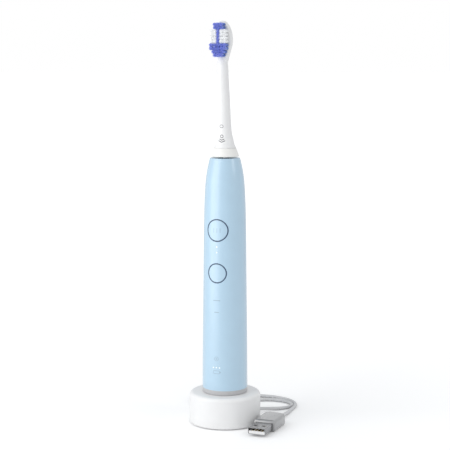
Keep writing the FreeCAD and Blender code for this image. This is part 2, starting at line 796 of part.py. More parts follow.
def control_chips():
    """Controller, charge chip and motor driver on the front of the main board."""
    chips = []
    for below_mode_button, wide, high in [(17.0, 6.0, 6.0), (33.0, 4.0, 5.0), (47.0, 5.0, 4.0)]:
        depth = (MAIN_BOARD_FACE - CHIP_DEPTH, MAIN_BOARD_FACE)
        chips.append(block(centred(0, wide), depth, centred(MODE_BUTTON_Z - below_mode_button, high)))
    return Part.makeCompound(chips)


def tact_switch(height):
    body = block(
        centred(0, SWITCH_WIDTH),
        (MAIN_BOARD_FACE - SWITCH_DEPTH, MAIN_BOARD_FACE),
        centred(height, SWITCH_WIDTH),
    )
    nib_foot = V(0, MAIN_BOARD_FACE - SWITCH_DEPTH + 0.2, height)
    nib = rod(SWITCH_NIB_RADIUS, nib_foot, V(0, SWITCH_FACE, height))
    return joined([body, nib])


def indicator_lamps():
    lamps = [
        block(centred(x, 1.6), (MAIN_BOARD_FACE - LAMP_DEPTH, MAIN_BOARD_FACE), centred(height, 1.0))
        for x, height in light_places()
    ]
    return Part.makeCompound(lamps)


# ---- Motor and shaft ------------------------------------------------------------------------
def stator_foot():
    return (MOTOR_FOOT + MOTOR_TOP - STATOR_HEIGHT) / 2


def screw_places():
    """Axes of the two long screws, halfway between the rotor and the yoke."""
    rotor = ROTOR_HUB_RADIUS + MAGNET_THICKNESS
    offset = (rotor + STATOR_RADIUS - BRACKET_RIM) / 2
    return [(0, offset), (0, -offset)]


def motor_lower_bracket():
    pocket = MOTOR_FOOT + BRACKET_THICKNESS - BEARING_HEIGHT
    bracket = turned(
        [
            (0, MOTOR_FOOT),
            (STATOR_RADIUS, MOTOR_FOOT),
            (STATOR_RADIUS, stator_foot()),
            (STATOR_RADIUS - BRACKET_RIM, stator_foot()),
            (STATOR_RADIUS - BRACKET_RIM, MOTOR_FOOT + BRACKET_THICKNESS),
            (BEARING_RADIUS + SEAT, MOTOR_FOOT + BRACKET_THICKNESS),
            (BEARING_RADIUS + SEAT, pocket),
            (0, pocket),
        ]
    )
    for x, y in screw_places():
        hole = cylinder(MOTOR_SCREW_RADIUS + SEAT, MOTOR_FOOT + 0.8, MOTOR_FOOT + BRACKET_THICKNESS, x, y)
        bracket = bracket.cut(hole)
    return bracket


def motor_upper_bracket():
    low = MOTOR_TOP - BRACKET_THICKNESS
    bracket = turned(
        [
            (BEARING_SHOULDER, low),
            (STATOR_RADIUS - BRACKET_RIM, low),
            (STATOR_RADIUS - BRACKET_RIM, stator_foot() + STATOR_HEIGHT),
            (STATOR_RADIUS, stator_foot() + STATOR_HEIGHT),
            (STATOR_RADIUS, MOTOR_TOP),
            (BEARING_RADIUS + SEAT, MOTOR_TOP),
            (BEARING_RADIUS + SEAT, MOTOR_TOP - BEARING_HEIGHT),
            (BEARING_SHOULDER, MOTOR_TOP - BEARING_HEIGHT),
        ]
    )
    for x, y in screw_places():
        bracket = bracket.cut(cylinder(MOTOR_SCREW_RADIUS + SEAT, low, MOTOR_TOP, x, y))
    return bracket


def bearing(foot):
    return ring(BEARING_RADIUS, SHAFT_RADIUS + RUNNING, foot, foot + BEARING_HEIGHT)


def pole_face():
    return ROTOR_HUB_RADIUS + MAGNET_THICKNESS + POLE_GAP


def stator_core():
    low, high = stator_foot(), stator_foot() + STATOR_HEIGHT
    yoke = ring(STATOR_RADIUS, STATOR_RADIUS - BRACKET_RIM, low, high)
    root = STATOR_RADIUS - BRACKET_RIM / 2
    poles = [
        block(sorted((side * pole_face(), side * root)), centred(0, POLE_WIDTH), (low, high))
        for side in (-1, 1)
    ]
    return joined([yoke] + poles)


def stator_windings():
    """One winding round each pole."""
    low, high = stator_foot(), stator_foot() + STATOR_HEIGHT
    start = pole_face() + LOOSE
    half_width = POLE_WIDTH / 2 + WINDING_THICKNESS
    end = math.sqrt((STATOR_RADIUS - BRACKET_RIM - LOOSE) ** 2 - half_width**2)
    windings = []
    for side in (-1, 1):
        span = sorted((side * start, side * end))
        outer = block(
            span,
            (-half_width, half_width),
            (low - WINDING_THICKNESS, high + WINDING_THICKNESS),
        )
        hole = block(span, centred(0, POLE_WIDTH + 2 * SEAT), (low - SEAT, high + SEAT))
        windings.append(outer.cut(hole))
    return Part.makeCompound(windings)


def motor_screws():
    screws = []
    for x, y in screw_places():
        shank = cylinder(MOTOR_SCREW_RADIUS, MOTOR_FOOT + 1.0, MOTOR_TOP, x, y)
        screws.append(joined([shank, cylinder(MOTOR_SCREW_HEAD, MOTOR_TOP, MOTOR_TOP + 1.0, x, y)]))
    return Part.makeCompound(screws)


def shaft_seal():
    inner = SHAFT_RADIUS + RUNNING
    return turned(
        [
            (inner, seal_foot()),
            (SEAL_RADIUS, seal_foot()),
            (SEAL_RADIUS, HANDLE_TOP - 0.3),
            (inner + 0.8, HANDLE_TOP - 0.3),
            (inner, HANDLE_TOP - 1.2),
        ]
    )


def shaft_foot():
    return MOTOR_FOOT + BRACKET_THICKNESS - BEARING_HEIGHT + 0.1


def shaft_section(extra, bottom, top):
    """Shaft with its flat on the back, grown all round by extra."""
    round_bar = cylinder(SHAFT_RADIUS + extra, bottom, top)
    beyond = 2 * SHAFT_RADIUS
    return round_bar.cut(block((-beyond, beyond), (SHAFT_FLAT + extra, beyond), (bottom, top)))


def drive_shaft():
    flat_from = SHAFT_TOP - SHAFT_FLAT_LENGTH
    shaft = joined([cylinder(SHAFT_RADIUS, shaft_foot(), flat_from), shaft_section(0, flat_from, SHAFT_TOP)])
    rim = [e for e in shaft.Edges if abs(e.BoundBox.ZMin - SHAFT_TOP) < 1e-6]
    return shaft.makeChamfer(0.3, rim)


def rotor_hub():
    return ring(ROTOR_HUB_RADIUS, SHAFT_RADIUS, stator_foot(), stator_foot() + STATOR_HEIGHT)


def rotor_magnets():
    low, high = stator_foot(), stator_foot() + STATOR_HEIGHT
    sleeve = ring(ROTOR_HUB_RADIUS + MAGNET_THICKNESS, ROTOR_HUB_RADIUS, low, high)
    reach = HANDLE_DIAMETER
    inner = ROTOR_HUB_RADIUS / 2
    halves = [
        sleeve.common(block(sorted((side * inner, side * reach)), centred(0, MAGNET_WIDTH), (low, high)))
        for side in (-1, 1)
    ]
    return Part.makeCompound(halves)


# ---- Brush head -----------------------------------------------------------------------------
def clip_radius():
    return SHAFT_RADIUS + RUNNING + CLIP_WALL


def clip_foot():
    return SHAFT_TOP - SHAFT_FLAT_LENGTH + 0.5


def collar_ring():
    return turned(
        [
            (SPIGOT_RADIUS + SEAT, COLLAR_FOOT),
            (COLLAR_RADIUS, COLLAR_FOOT, 0.5),
            (COLLAR_TOP_RADIUS, COLLAR_TOP),
            (SPIGOT_RADIUS + SEAT, COLLAR_TOP),
        ]
    )


def brush_head_body():
    first = NECK_SECTIONS[0]
    skirt = turned(
        [
            (0, COLLAR_FOOT + 0.3),
            (SPIGOT_RADIUS, COLLAR_FOOT + 0.3),
            (SPIGOT_RADIUS, COLLAR_TOP),
            (COLLAR_TOP_RADIUS, COLLAR_TOP, 0.3),
            (COLLAR_TOP_RADIUS - 1.2, COLLAR_TOP + 2.6, 1.5),
            (first[2] + 0.5, COLLAR_TOP + 5.3, 1.5),
            (first[2] - 0.2, COLLAR_TOP + 8.5),
            (0, COLLAR_TOP + 8.5),
        ]
    )
    rings = [
        Part.Wire(Part.Circle(V(0, -ahead, COLLAR_TOP + rise), UP, radius).toShape())
        for rise, ahead, radius in NECK_SECTIONS
    ]
    neck = Part.makeLoft(rings, True, False)
    body = joined([skirt, neck, head_plate()])
    body = body.cut(cylinder(SHAFT_RADIUS + LOOSE, COLLAR_FOOT, SHAFT_TOP + LOOSE))
    body = body.cut(cylinder(clip_radius() + SEAT, clip_foot(), SHAFT_TOP + LOOSE))
    for x, z in tuft_places():
        body = body.cut(rod(TUFT_RADIUS, V(x, PLATE_FRONT + TUFT_SEAT, z), V(x, PLATE_FRONT - 1, z)))
    return body


def head_plate():
    """Plate that holds the tufts: half an ellipse above its widest place, drawn in to the neck below."""
    low, widest = HEAD_TOP - PLATE_LENGTH, HEAD_TOP - PLATE_WIDEST
    half, foot = PLATE_HALF_WIDTH, PLATE_FOOT_HALF_WIDTH
    shoulder = low + PLATE_SHOULDER
    corners = [
        V(-half, PLATE_FRONT, widest),
        V(-half, PLATE_FRONT, shoulder),
        V(-foot, PLATE_FRONT, low),
        V(foot, PLATE_FRONT, low),
        V(half, PLATE_FRONT, shoulder),
        V(half, PLATE_FRONT, widest),
    ]
    lower = rounded_edges(corners, [0, PLATE_SHOULDER, 1.0, 1.0, PLATE_SHOULDER, 0], False)
    centre = V(0, PLATE_FRONT, widest)
    ellipse = Part.Ellipse(V(0, PLATE_FRONT, HEAD_TOP), corners[-1], centre)
    upper = ellipse.toShape(-math.pi / 2, math.pi / 2)
    outline = Part.Wire(Part.__sortEdges__([*lower, upper]))
    plate = Part.Face(outline).extrude(V(0, PLATE_BACK - PLATE_FRONT, 0))
    rims = [e for e in plate.Edges if e.BoundBox.YLength < 1e-6]
    return plate.makeFillet(PLATE_ROUND, rims)


def shaft_clip():
    sleeve = cylinder(clip_radius(), clip_foot(), SHAFT_TOP)
    return sleeve.cut(shaft_section(RUNNING, clip_foot(), SHAFT_TOP))


def tuft_grid():
    """Column, row and place of each tuft. Row 0 is the lowest, and column 0 is the middle one."""
    lowest = HEAD_TOP - TUFT_TOP_MARGIN - (len(TUFTS_IN_ROWS) - 1) * TUFT_ROW_PITCH
    for row, count in enumerate(TUFTS_IN_ROWS):
        for index in range(count):
            column = index - (count - 1) / 2
            yield column, row, column * TUFT_PITCH, lowest + row * TUFT_ROW_PITCH


def tuft_places():
    return [(x, z) for _, _, x, z in tuft_grid()]


def is_white(column, row):
    """White tufts stand in two bunches beside the middle column, above the middle of the plate."""
    return column != 0 and row in (4, 5, 6, 7)


def tuft_length(column, row):
    tall = row in (0, len(TUFTS_IN_ROWS) - 1) or (abs(column) == 2 and row in (2, 3))
    return TALL_TUFT_LENGTH if tall else TUFT_LENGTH


def tufts(white):
    rods = []
    for column, row, x, z in tuft_grid():
        if is_white(column, row) == white:
            back = PLATE_FRONT + TUFT_SEAT - ANCHOR_HEIGHT
            tip = PLATE_FRONT - tuft_length(column, row)
            rods.append(rod(TUFT_RADIUS - SEAT, V(x, back, z), V(x, tip, z)))
    return Part.makeCompound(rods)


def tuft_anchors():
    depth = (PLATE_FRONT + TUFT_SEAT - ANCHOR_HEIGHT, PLATE_FRONT + TUFT_SEAT)
    return Part.makeCompound(
        [block(centred(x, ANCHOR_WIDTH), depth, centred(z, ANCHOR_THICKNESS)) for x, z in tuft_places()]
    )


def main():
    os.makedirs("parts", exist_ok=True)

    save("charger_housing", charger_housing())
    save("charger_base_cover", charger_base_cover())
    save("foot_ring", foot_ring())
    save("charging_core", charging_core())
    save("primary_coil", primary_coil())
    save("charger_board", charger_board())
    save("charger_board_parts", charger_board_parts())
    save("charger_board_screws", charger_board_screws())
    save("cord_boot", laid_to_exit(boot_profile(0)))

    save("cord_lead", cord_tube("cord_lead", LEAD_ROUTE))
    save("cord_coil", cord_coil())
    save("cord_to_plug", cord_tube("cord_to_plug", PLUG_ROUTE))
    save("plug_body", plug_body())
    save("plug_shell", plug_shell())
    save("plug_tongue", plug_tongue())
    save("plug_contacts", plug_contacts())

    save("handle_housing", handle_housing())
    save("power_button_ring", button_ring(POWER_BUTTON_Z, POWER_RING_DIAMETER))
    save("mode_button_ring", button_ring(MODE_BUTTON_Z, MODE_RING_DIAMETER))
    save("power_button", button(POWER_BUTTON_Z, POWER_RING_DIAMETER))
    save("mode_button", button(MODE_BUTTON_Z, MODE_RING_DIAMETER))
    save("light_guides", light_guides())
    save("end_cap", end_cap())
    save("end_cap_seal", end_cap_seal())
    save("receiver_bobbin", receiver_bobbin())
    save("receiver_coil", receiver_coil())
    save("chassis", chassis())
    save("battery_cell", battery_cell())
    save("battery_tabs", battery_tabs())
    save("main_circuit_board", main_circuit_board())
    save("control_chips", control_chips())
    save("power_switch", tact_switch(POWER_BUTTON_Z))
    save("mode_switch", tact_switch(MODE_BUTTON_Z))
    save("indicator_lamps", indicator_lamps())

    save("motor_lower_bracket", motor_lower_bracket())
    save("motor_upper_bracket", motor_upper_bracket())
    save("lower_bearing", bearing(MOTOR_FOOT + BRACKET_THICKNESS - BEARING_HEIGHT))
    save("upper_bearing", bearing(MOTOR_TOP - BEARING_HEIGHT))
    save("stator_core", stator_core())
    save("stator_windings", stator_windings())
    save("motor_screws", motor_screws())
    save("shaft_seal", shaft_seal())
    save("drive_shaft", drive_shaft())
    save("rotor_hub", rotor_hub())
    save("rotor_magnets", rotor_magnets())

    save("collar_ring", collar_ring())
    save("brush_head_body", brush_head_body())
    save("shaft_clip", shaft_clip())
    save("blue_tufts", tufts(False))
    save("white_tufts", tufts(True))
    save("tuft_anchors", tuft_anchors())


if __name__ == "__main__":
    main()
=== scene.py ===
"""Looks of an electric toothbrush standing on its charger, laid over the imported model.

Metres, +Z up, and the handle's front, with its two buttons, faces -Y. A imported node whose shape
is right keeps it and gets a finish. The lead, the strain relief, the plug's moulding and steel
sleeve, and the bristles are modelled here and stand for their nodes.
"""

import json
import math
import random

import bmesh
import bpy
from bpy.props import FloatProperty, FloatVectorProperty, IntProperty, PointerProperty
from mathutils import Matrix, Vector


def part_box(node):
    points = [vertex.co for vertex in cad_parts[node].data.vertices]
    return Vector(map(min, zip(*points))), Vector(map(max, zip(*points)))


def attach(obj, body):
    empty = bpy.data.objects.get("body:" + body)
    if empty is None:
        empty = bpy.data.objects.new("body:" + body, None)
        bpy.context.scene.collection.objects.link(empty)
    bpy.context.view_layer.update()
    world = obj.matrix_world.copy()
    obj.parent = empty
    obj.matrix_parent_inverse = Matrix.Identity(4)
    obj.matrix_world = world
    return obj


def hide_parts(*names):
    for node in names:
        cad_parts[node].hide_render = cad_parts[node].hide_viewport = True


bl_info = {
    "name": "Electric toothbrush on charger",
    "version": (1, 0, 0),
    "blender": (4, 5, 0),
    "location": "View3D > Sidebar > Toothbrush",
    "description": "Finishes and fine pieces of an electric toothbrush on its charger",
    "category": "Object",
}

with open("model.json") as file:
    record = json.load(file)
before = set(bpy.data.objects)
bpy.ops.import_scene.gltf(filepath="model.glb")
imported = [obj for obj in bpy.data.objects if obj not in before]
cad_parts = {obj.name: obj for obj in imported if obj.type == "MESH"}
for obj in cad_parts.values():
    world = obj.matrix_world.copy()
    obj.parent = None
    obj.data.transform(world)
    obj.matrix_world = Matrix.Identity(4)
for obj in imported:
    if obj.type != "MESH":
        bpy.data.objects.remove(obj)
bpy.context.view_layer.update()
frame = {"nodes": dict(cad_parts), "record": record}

MM = 0.001

# ---- Places taken from the frame -----------------------------------------------------------
CHARGER_FOOT, CHARGER_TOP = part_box("charger_housing")
CHARGER_RADIUS = CHARGER_TOP.x
LAMPS_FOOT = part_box("light_guides")[0].z
COLLAR_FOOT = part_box("collar_ring")[0].z
TUFTS_LOW, TUFTS_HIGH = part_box("blue_tufts")
PLUG_LOW, PLUG_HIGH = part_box("plug_body")
PLUG_MIDDLE = (PLUG_LOW + PLUG_HIGH) / 2
SLEEVE_LOW, SLEEVE_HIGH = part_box("plug_shell")
COIL_LOW, COIL_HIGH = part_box("cord_coil")


def middle_height(node):
    low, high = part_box(node)
    return (low.z + high.z) / 2


POWER_BUTTON_Z = middle_height("power_button_ring")
MODE_BUTTON_Z = middle_height("mode_button_ring")

# ---- Lead ------------------------------------------------------------------------------------
EXIT_ANGLE = math.radians(62.5)
BOOT_LENGTH = 6.0 * MM
EXIT_HEIGHT = 3.4 * MM
CORD_DIAMETER = 2.4 * MM
CORD_Z = CORD_DIAMETER / 2
EXIT_DIRECTION = Vector((math.cos(EXIT_ANGLE), math.sin(EXIT_ANGLE), 0))
BOOT_END = EXIT_DIRECTION * (CHARGER_RADIUS + BOOT_LENGTH) + Vector((0, 0, EXIT_HEIGHT))
LEAD_ROUTE = [
    tuple(BOOT_END),
    (0.0187, 0.0347, 0.0020),
    (0.0257, 0.0415, CORD_Z),
    (0.0303, 0.0474, CORD_Z),
    (0.0301, 0.0548, CORD_Z),
    (0.0247, 0.0598, CORD_Z),
    (0.0180, 0.0618, CORD_Z),
    (0.0089, 0.0608, CORD_Z),
    (0.0019, 0.0564, CORD_Z),
    (-0.0009, 0.0486, CORD_Z),
    (-0.0019, 0.0396, CORD_Z),
    (-0.0074, 0.0320, CORD_Z),
]
PLUG_ROUTE = [
    (-0.0210, 0.0645, 0.0034),
    (-0.0110, 0.0664, 0.0020),
    (-0.0009, 0.0682, CORD_Z),
    (0.0088, 0.0697, CORD_Z),
    (0.0175, 0.0681, CORD_Z),
    (0.0256, 0.0643, CORD_Z),
    (0.0313, 0.0577, CORD_Z),
    (0.0333, 0.0497, CORD_Z),
    (0.0335, 0.0409, CORD_Z),
    (0.0343, 0.0311, 0.0013),
    (0.0342, 0.0210, 0.0023),
    (PLUG_MIDDLE.x, PLUG_HIGH.y, PLUG_MIDDLE.z),
]
COIL_MIDDLE = (COIL_LOW + COIL_HIGH) / 2
COIL_TURNS_WIDE = 4
COIL_TURNS = 7.5
COIL_ENTRY_ANGLE = -67.5  # degrees round the coil's middle, and the turns run clockwise
COIL_POINTS_A_TURN = 16

# ---- Bristles --------------------------------------------------------------------------------
TUFTS_IN_ROWS = (3, 4, 5, 5, 5, 5, 5, 5, 3, 3)  # from the lowest row up
TUFT_RADIUS = 0.83 * MM
TUFT_PITCH = (TUFTS_HIGH.x - TUFTS_LOW.x - 2 * TUFT_RADIUS) / (max(TUFTS_IN_ROWS) - 1)
TUFT_ROW_PITCH = (TUFTS_HIGH.z - TUFTS_LOW.z - 2 * TUFT_RADIUS) / (len(TUFTS_IN_ROWS) - 1)
PLATE_FRONT = -6.3 * MM
HOLE_DEPTH = 0.6 * MM


def colour_property(name, description, default):
    return FloatVectorProperty(name=name, description=description, subtype="COLOR", size=3, default=default)


class ToothbrushColours(bpy.types.PropertyGroup):
    """Colours of the finishes that show."""

    handle: colour_property("Handle", "Colour of the handle's shell and its two buttons", (0.45, 0.64, 0.79))
    button_ring: colour_property("Button ring", "Colour of the rings round the buttons", (0.055, 0.095, 0.17))
    end_cap: colour_property("End cap", "Colour of the cap that closes the handle's foot", (0.53, 0.53, 0.54))
    charger: colour_property("Charger", "Colour of the charger's housing", (0.86, 0.86, 0.86))
    lead: colour_property("Lead", "Colour of the lead and its strain relief", (0.68, 0.68, 0.69))
    plug: colour_property("Plug", "Colour of the plug's moulding", (0.30, 0.30, 0.305))
    brush: colour_property("Brush head", "Colour of the brush head's moulding", (0.84, 0.84, 0.84))
    bristles: colour_property("Coloured bristles", "Colour of the darker bristles", (0.07, 0.18, 0.60))


class ToothbrushBristles(bpy.types.PropertyGroup):
    """Sizes of the bristles."""

    filament_radius: FloatProperty(
        name="Filament radius",
        description="Radius of one bristle",
        unit="LENGTH",
        default=0.105 * MM,
    )
    filaments: IntProperty(
        name="Filaments in a tuft",
        description="How many bristles stand in each hole of the head",
        default=56,
        min=7,
        max=90,
    )
    splay: FloatProperty(
        name="Splay",
        description="How far the outermost bristles of a tuft lean away from its axis",
        subtype="ANGLE",
        default=math.radians(4.0),
    )
    seed: IntProperty(
        name="Seed",
        description="Start of the random unevenness of lengths and shades",
        default=7,
    )


class ToothbrushStudio(bpy.types.PropertyGroup):
    """Camera and lights."""

    azimuth: FloatProperty(
        name="Camera azimuth",
        description="Angle of the camera round the object, to the right of its front",
        subtype="ANGLE",
        default=math.radians(22.5),
    )
    distance: FloatProperty(
        name="Camera distance",
        description="Level distance from the handle's axis to the camera",
        unit="LENGTH",
        default=0.850,
    )
    height: FloatProperty(
        name="Camera height",
        description="Height of the camera above the floor",
        unit="LENGTH",
        default=0.241,
    )
    pitch: FloatProperty(
        name="Camera pitch",
        description="How far the camera looks down",
        subtype="ANGLE",
        default=math.radians(7.05),
    )
    lens: FloatProperty(
        name="Lens",
        description="Focal length on a 36 mm sensor",
        subtype="DISTANCE_CAMERA",
        default=101.5,
    )
    key_power: FloatProperty(
        name="Key light",
        description="Power of the tall soft light on the left",
        unit="POWER",
        default=0.98,
    )
    rim_power: FloatProperty(
        name="Rim light",
        description="Power of the narrow light behind on the right",
        unit="POWER",
        default=0.5,
    )
    room_light: FloatProperty(
        name="Room light",
        description="Strength of the even light from all round",
        default=0.74,
        min=0.0,
    )


# ---- Helpers for modelling -------------------------------------------------------------------
def deselect_all():
    bpy.ops.object.select_all(action="DESELECT")


def newest(name):
    """The piece that was just added, under its own name."""
    piece = bpy.context.view_layer.objects.active
    piece.name = name
    piece.data.name = name
    return piece


def choose(piece):
    """Make a piece the only one selected."""
    deselect_all()
    piece.select_set(True)
    bpy.context.view_layer.objects.active = piece


def edit(piece, mode):
    """Open a piece for editing with nothing of it selected."""
    choose(piece)
    bpy.ops.object.mode_set(mode="EDIT")
    bpy.ops.mesh.select_mode(type=mode)
    bpy.ops.mesh.select_all(action="DESELECT")


def close():
    bpy.ops.object.mode_set(mode="OBJECT")


def select_faces(test):
    """Select the faces of the piece in hand whose middle and normal pass the test."""
    mesh = bpy.context.view_layer.objects.active.data
    cage = bmesh.from_edit_mesh(mesh)
    for face in cage.faces:
        face.select_set(test(face.calc_center_median(), face.normal))
    cage.select_flush_mode()
    bmesh.update_edit_mesh(mesh)


def select_edges(test):
    """Select the edges of the piece in hand whose two ends pass the test."""
    mesh = bpy.context.view_layer.objects.active.data
    cage = bmesh.from_edit_mesh(mesh)
    for edge in cage.edges:
        edge.select_set(test(edge.verts[0].co, edge.verts[1].co))
    cage.select_flush_mode()
    bmesh.update_edit_mesh(mesh)


def apply_place(piece):
    """Bring a finished piece's object to the origin, its place in its mesh."""
    choose(piece)
    bpy.ops.object.transform_apply(location=True, rotation=True, scale=True)


def apply_modifiers(piece):
    choose(piece)
    for modifier in list(piece.modifiers):
        bpy.ops.object.modifier_apply(modifier=modifier.name)


def smooth(piece, degrees=35):
    choose(piece)
    bpy.ops.object.shade_smooth_by_angle(angle=math.radians(degrees))


def box_piece(name, low, high):
    """A block from its lowest to its highest corner, its size already in its mesh."""
    deselect_all()
    bpy.ops.mesh.primitive_cube_add(size=1, location=(low + high) / 2, scale=high - low)
    piece = newest(name)
    apply_place(piece)
    return piece


def near(value, target, slack=0.01 * MM):
    return abs(value - target) < slack


def bevel(width, segments):
    """Round the selected edges."""
    bpy.ops.mesh.bevel(offset=width, segments=segments, affect="EDGES")


def cut(piece, cutter):
    """Cut one piece's shape out of another, and put the cutter away."""
    modifier = piece.modifiers.new("Cut", "BOOLEAN")
    modifier.operation = "DIFFERENCE"
    modifier.solver = "EXACT"
    modifier.object = cutter
    apply_modifiers(piece)
    bpy.data.objects.remove(cutter)


def grow(direction, length, spread):
    """Extrude the selected end along a direction, then widen or narrow the new end."""
    bpy.ops.mesh.extrude_region_move(TRANSFORM_OT_translate={"value": tuple(direction * length)})
    if spread != 1.0:
        bpy.ops.transform.resize(value=(spread, spread, spread))


def join(pieces, name):
    """Make one piece of several, under the name given."""
    deselect_all()
    for piece in pieces:
        piece.select_set(True)
    bpy.context.view_layer.objects.active = pieces[0]
    bpy.ops.object.join()
    return newest(name)


def stand_for(piece, body, slot, *nodes):
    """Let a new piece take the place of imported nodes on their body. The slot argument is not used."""
    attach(piece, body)
    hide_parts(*nodes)


# ---- Helpers for finishes --------------------------------------------------------------------
def feed(tree, value, socket):
    """Wire a socket to another one, or give it a plain value."""
    if isinstance(value, bpy.types.NodeSocket):
        tree.links.new(value, socket)
    else:
        socket.default_value = value


def reckon(tree, operation, *values):
    """Output of a Math node."""
    made = tree.nodes.new("ShaderNodeMath")
    made.operation = operation
    for value, socket in zip(values, made.inputs):
        feed(tree, value, socket)
    return made.outputs[0]


def noise(tree, vector, scale, detail=2.0):
    made = tree.nodes.new("ShaderNodeTexNoise")
    feed(tree, vector, made.inputs["Vector"])
    feed(tree, scale, made.inputs["Scale"])
    made.inputs["Detail"].default_value = detail
    return made.outputs["Fac"]


def ramp(tree, value, low, high, start=0.0, end=1.0):
    """Straight change from start at low to end at high, held flat beyond."""
    made = tree.nodes.new("ShaderNodeMapRange")
    feed(tree, value, made.inputs["Value"])
    for label, number in (("From Min", low), ("From Max", high), ("To Min", start), ("To Max", end)):
        feed(tree, number, made.inputs[label])
    return made.outputs["Result"]


def blend_colours(tree, share, first, second):
    made = tree.nodes.new("ShaderNodeMix")
    made.data_type = "RGBA"
    feed(tree, share, made.inputs["Factor"])
    feed(tree, first, made.inputs["A"])
    feed(tree, second, made.inputs["B"])
    return made.outputs["Result"]


def group_with(name, inputs, outputs):
    """A shader node group with its sockets, and its input and output nodes."""
    group = bpy.data.node_groups.new(name, "ShaderNodeTree")
    for label, kind, default in inputs:
        socket = group.interface.new_socket(label, in_out="INPUT", socket_type=kind)
        if default is not None:
            socket.default_value = default
    for label, kind in outputs:
        group.interface.new_socket(label, in_out="OUTPUT", socket_type=kind)
    return group, group.nodes.new("NodeGroupInput"), group.nodes.new("NodeGroupOutput")


def place_group(tree, name, values):
    made = tree.nodes.new("ShaderNodeGroup")
    made.node_tree = bpy.data.node_groups[name]
    for label, value in values.items():
        feed(tree, value, made.inputs[label])
    return made


FLOAT, COLOUR, VECTOR = "NodeSocketFloat", "NodeSocketColor", "NodeSocketVector"
EDGE_SOFTNESS = 0.06 * MM  # half the width of the soft edge of a printed mark


def make_grain_group():
    """Fine grain of a mould, with broad faint patches of another tone."""
    group, given, result = group_with(
        "Moulded grain",
        [
            ("Vector", VECTOR, None),
            ("Colour", COLOUR, (0.8, 0.8, 0.8, 1)),
            ("Patch Colour", COLOUR, (0.7, 0.7, 0.7, 1)),
            ("Grain Scale", FLOAT, 4000.0),
            ("Patch Scale", FLOAT, 90.0),
            ("Roughness", FLOAT, 0.4),
            ("Roughness Spread", FLOAT, 0.08),
        ],
        [("Colour", COLOUR), ("Roughness", FLOAT), ("Height", FLOAT)],
    )
    fine = noise(group, given.outputs["Vector"], given.outputs["Grain Scale"], 3.0)
    broad = noise(group, given.outputs["Vector"], given.outputs["Patch Scale"], 4.0)
    share = ramp(group, broad, 0.35, 0.75)
    tone = blend_colours(group, share, given.outputs["Colour"], given.outputs["Patch Colour"])
    uneven = reckon(group, "ADD", fine, reckon(group, "MULTIPLY", broad, 0.6))
    centred = reckon(group, "SUBTRACT", uneven, 0.8)
    swing = reckon(group, "MULTIPLY", centred, given.outputs["Roughness Spread"])
    rough = reckon(group, "ADD", given.outputs["Roughness"], swing)
    group.links.new(tone, result.inputs["Colour"])
    group.links.new(rough, result.inputs["Roughness"])
    group.links.new(fine, result.inputs["Height"])


def make_dust_and_shade_group():
    """Dust that thins out upwards from the foot of a piece; on the lead it is painted shade on the underside.
    """
    group, given, result = group_with(
        "Settled dust",
        [
            ("Vector", VECTOR, None),
            ("Colour", COLOUR, (0.8, 0.8, 0.8, 1)),
            ("Dust Colour", COLOUR, (0.35, 0.34, 0.33, 1)),
            ("Foot", FLOAT, 0.0),
            ("Reach", FLOAT, 0.004),
            ("Amount", FLOAT, 0.2),
        ],
        [("Colour", COLOUR)],
    )
    split = group.nodes.new("ShaderNodeSeparateXYZ")
    group.links.new(given.outputs["Vector"], split.inputs[0])
    above = reckon(group, "SUBTRACT", split.outputs["Z"], given.outputs["Foot"])
    height = ramp(group, above, 0.0, given.outputs["Reach"], 1.0, 0.0)
    specks = ramp(group, noise(group, given.outputs["Vector"], 900.0, 5.0), 0.35, 0.7)
    mask = reckon(group, "MULTIPLY", reckon(group, "MULTIPLY", height, specks), given.outputs["Amount"])
    tone = blend_colours(group, mask, given.outputs["Colour"], given.outputs["Dust Colour"])
    group.links.new(tone, result.inputs["Colour"])


def make_brushed_group():
    """Fine lines that brushing or grinding leaves along one direction."""
    group, given, result = group_with(
        "Brushed lines",
        [
            ("Vector", VECTOR, None),
            ("Stretch", VECTOR, (3000.0, 120.0, 3000.0)),
            ("Roughness", FLOAT, 0.25),
            ("Roughness Spread", FLOAT, 0.15),
            ("Colour", COLOUR, (0.7, 0.7, 0.7, 1)),
            ("Line Colour", COLOUR, (0.5, 0.5, 0.5, 1)),
        ],
        [("Colour", COLOUR), ("Roughness", FLOAT), ("Height", FLOAT)],
    )
    stretched = group.nodes.new("ShaderNodeVectorMath")
    stretched.operation = "MULTIPLY"
    group.links.new(given.outputs["Vector"], stretched.inputs[0])
    group.links.new(given.outputs["Stretch"], stretched.inputs[1])
    lines = noise(group, stretched.outputs[0], 1.0, 4.0)
    centred = reckon(group, "SUBTRACT", lines, 0.5)
    swing = reckon(group, "MULTIPLY", centred, given.outputs["Roughness Spread"])
    rough = reckon(group, "ADD", given.outputs["Roughness"], swing)
    tone = blend_colours(group, lines, given.outputs["Colour"], given.outputs["Line Colour"])
    group.links.new(tone, result.inputs["Colour"])
    group.links.new(rough, result.inputs["Roughness"])
    group.links.new(lines, result.inputs["Height"])


def front_axes(group, given):
    """Across and up from a mark's middle, seen from the front, and whether a point is in front."""
    split = group.nodes.new("ShaderNodeSeparateXYZ")
    group.links.new(given.outputs["Vector"], split.inputs[0])
    across = reckon(group, "SUBTRACT", split.outputs["X"], given.outputs["Across"])
    up = reckon(group, "SUBTRACT", split.outputs["Z"], given.outputs["Up"])
    front = reckon(group, "LESS_THAN", split.outputs["Y"], 0.0)
    return across, up, front


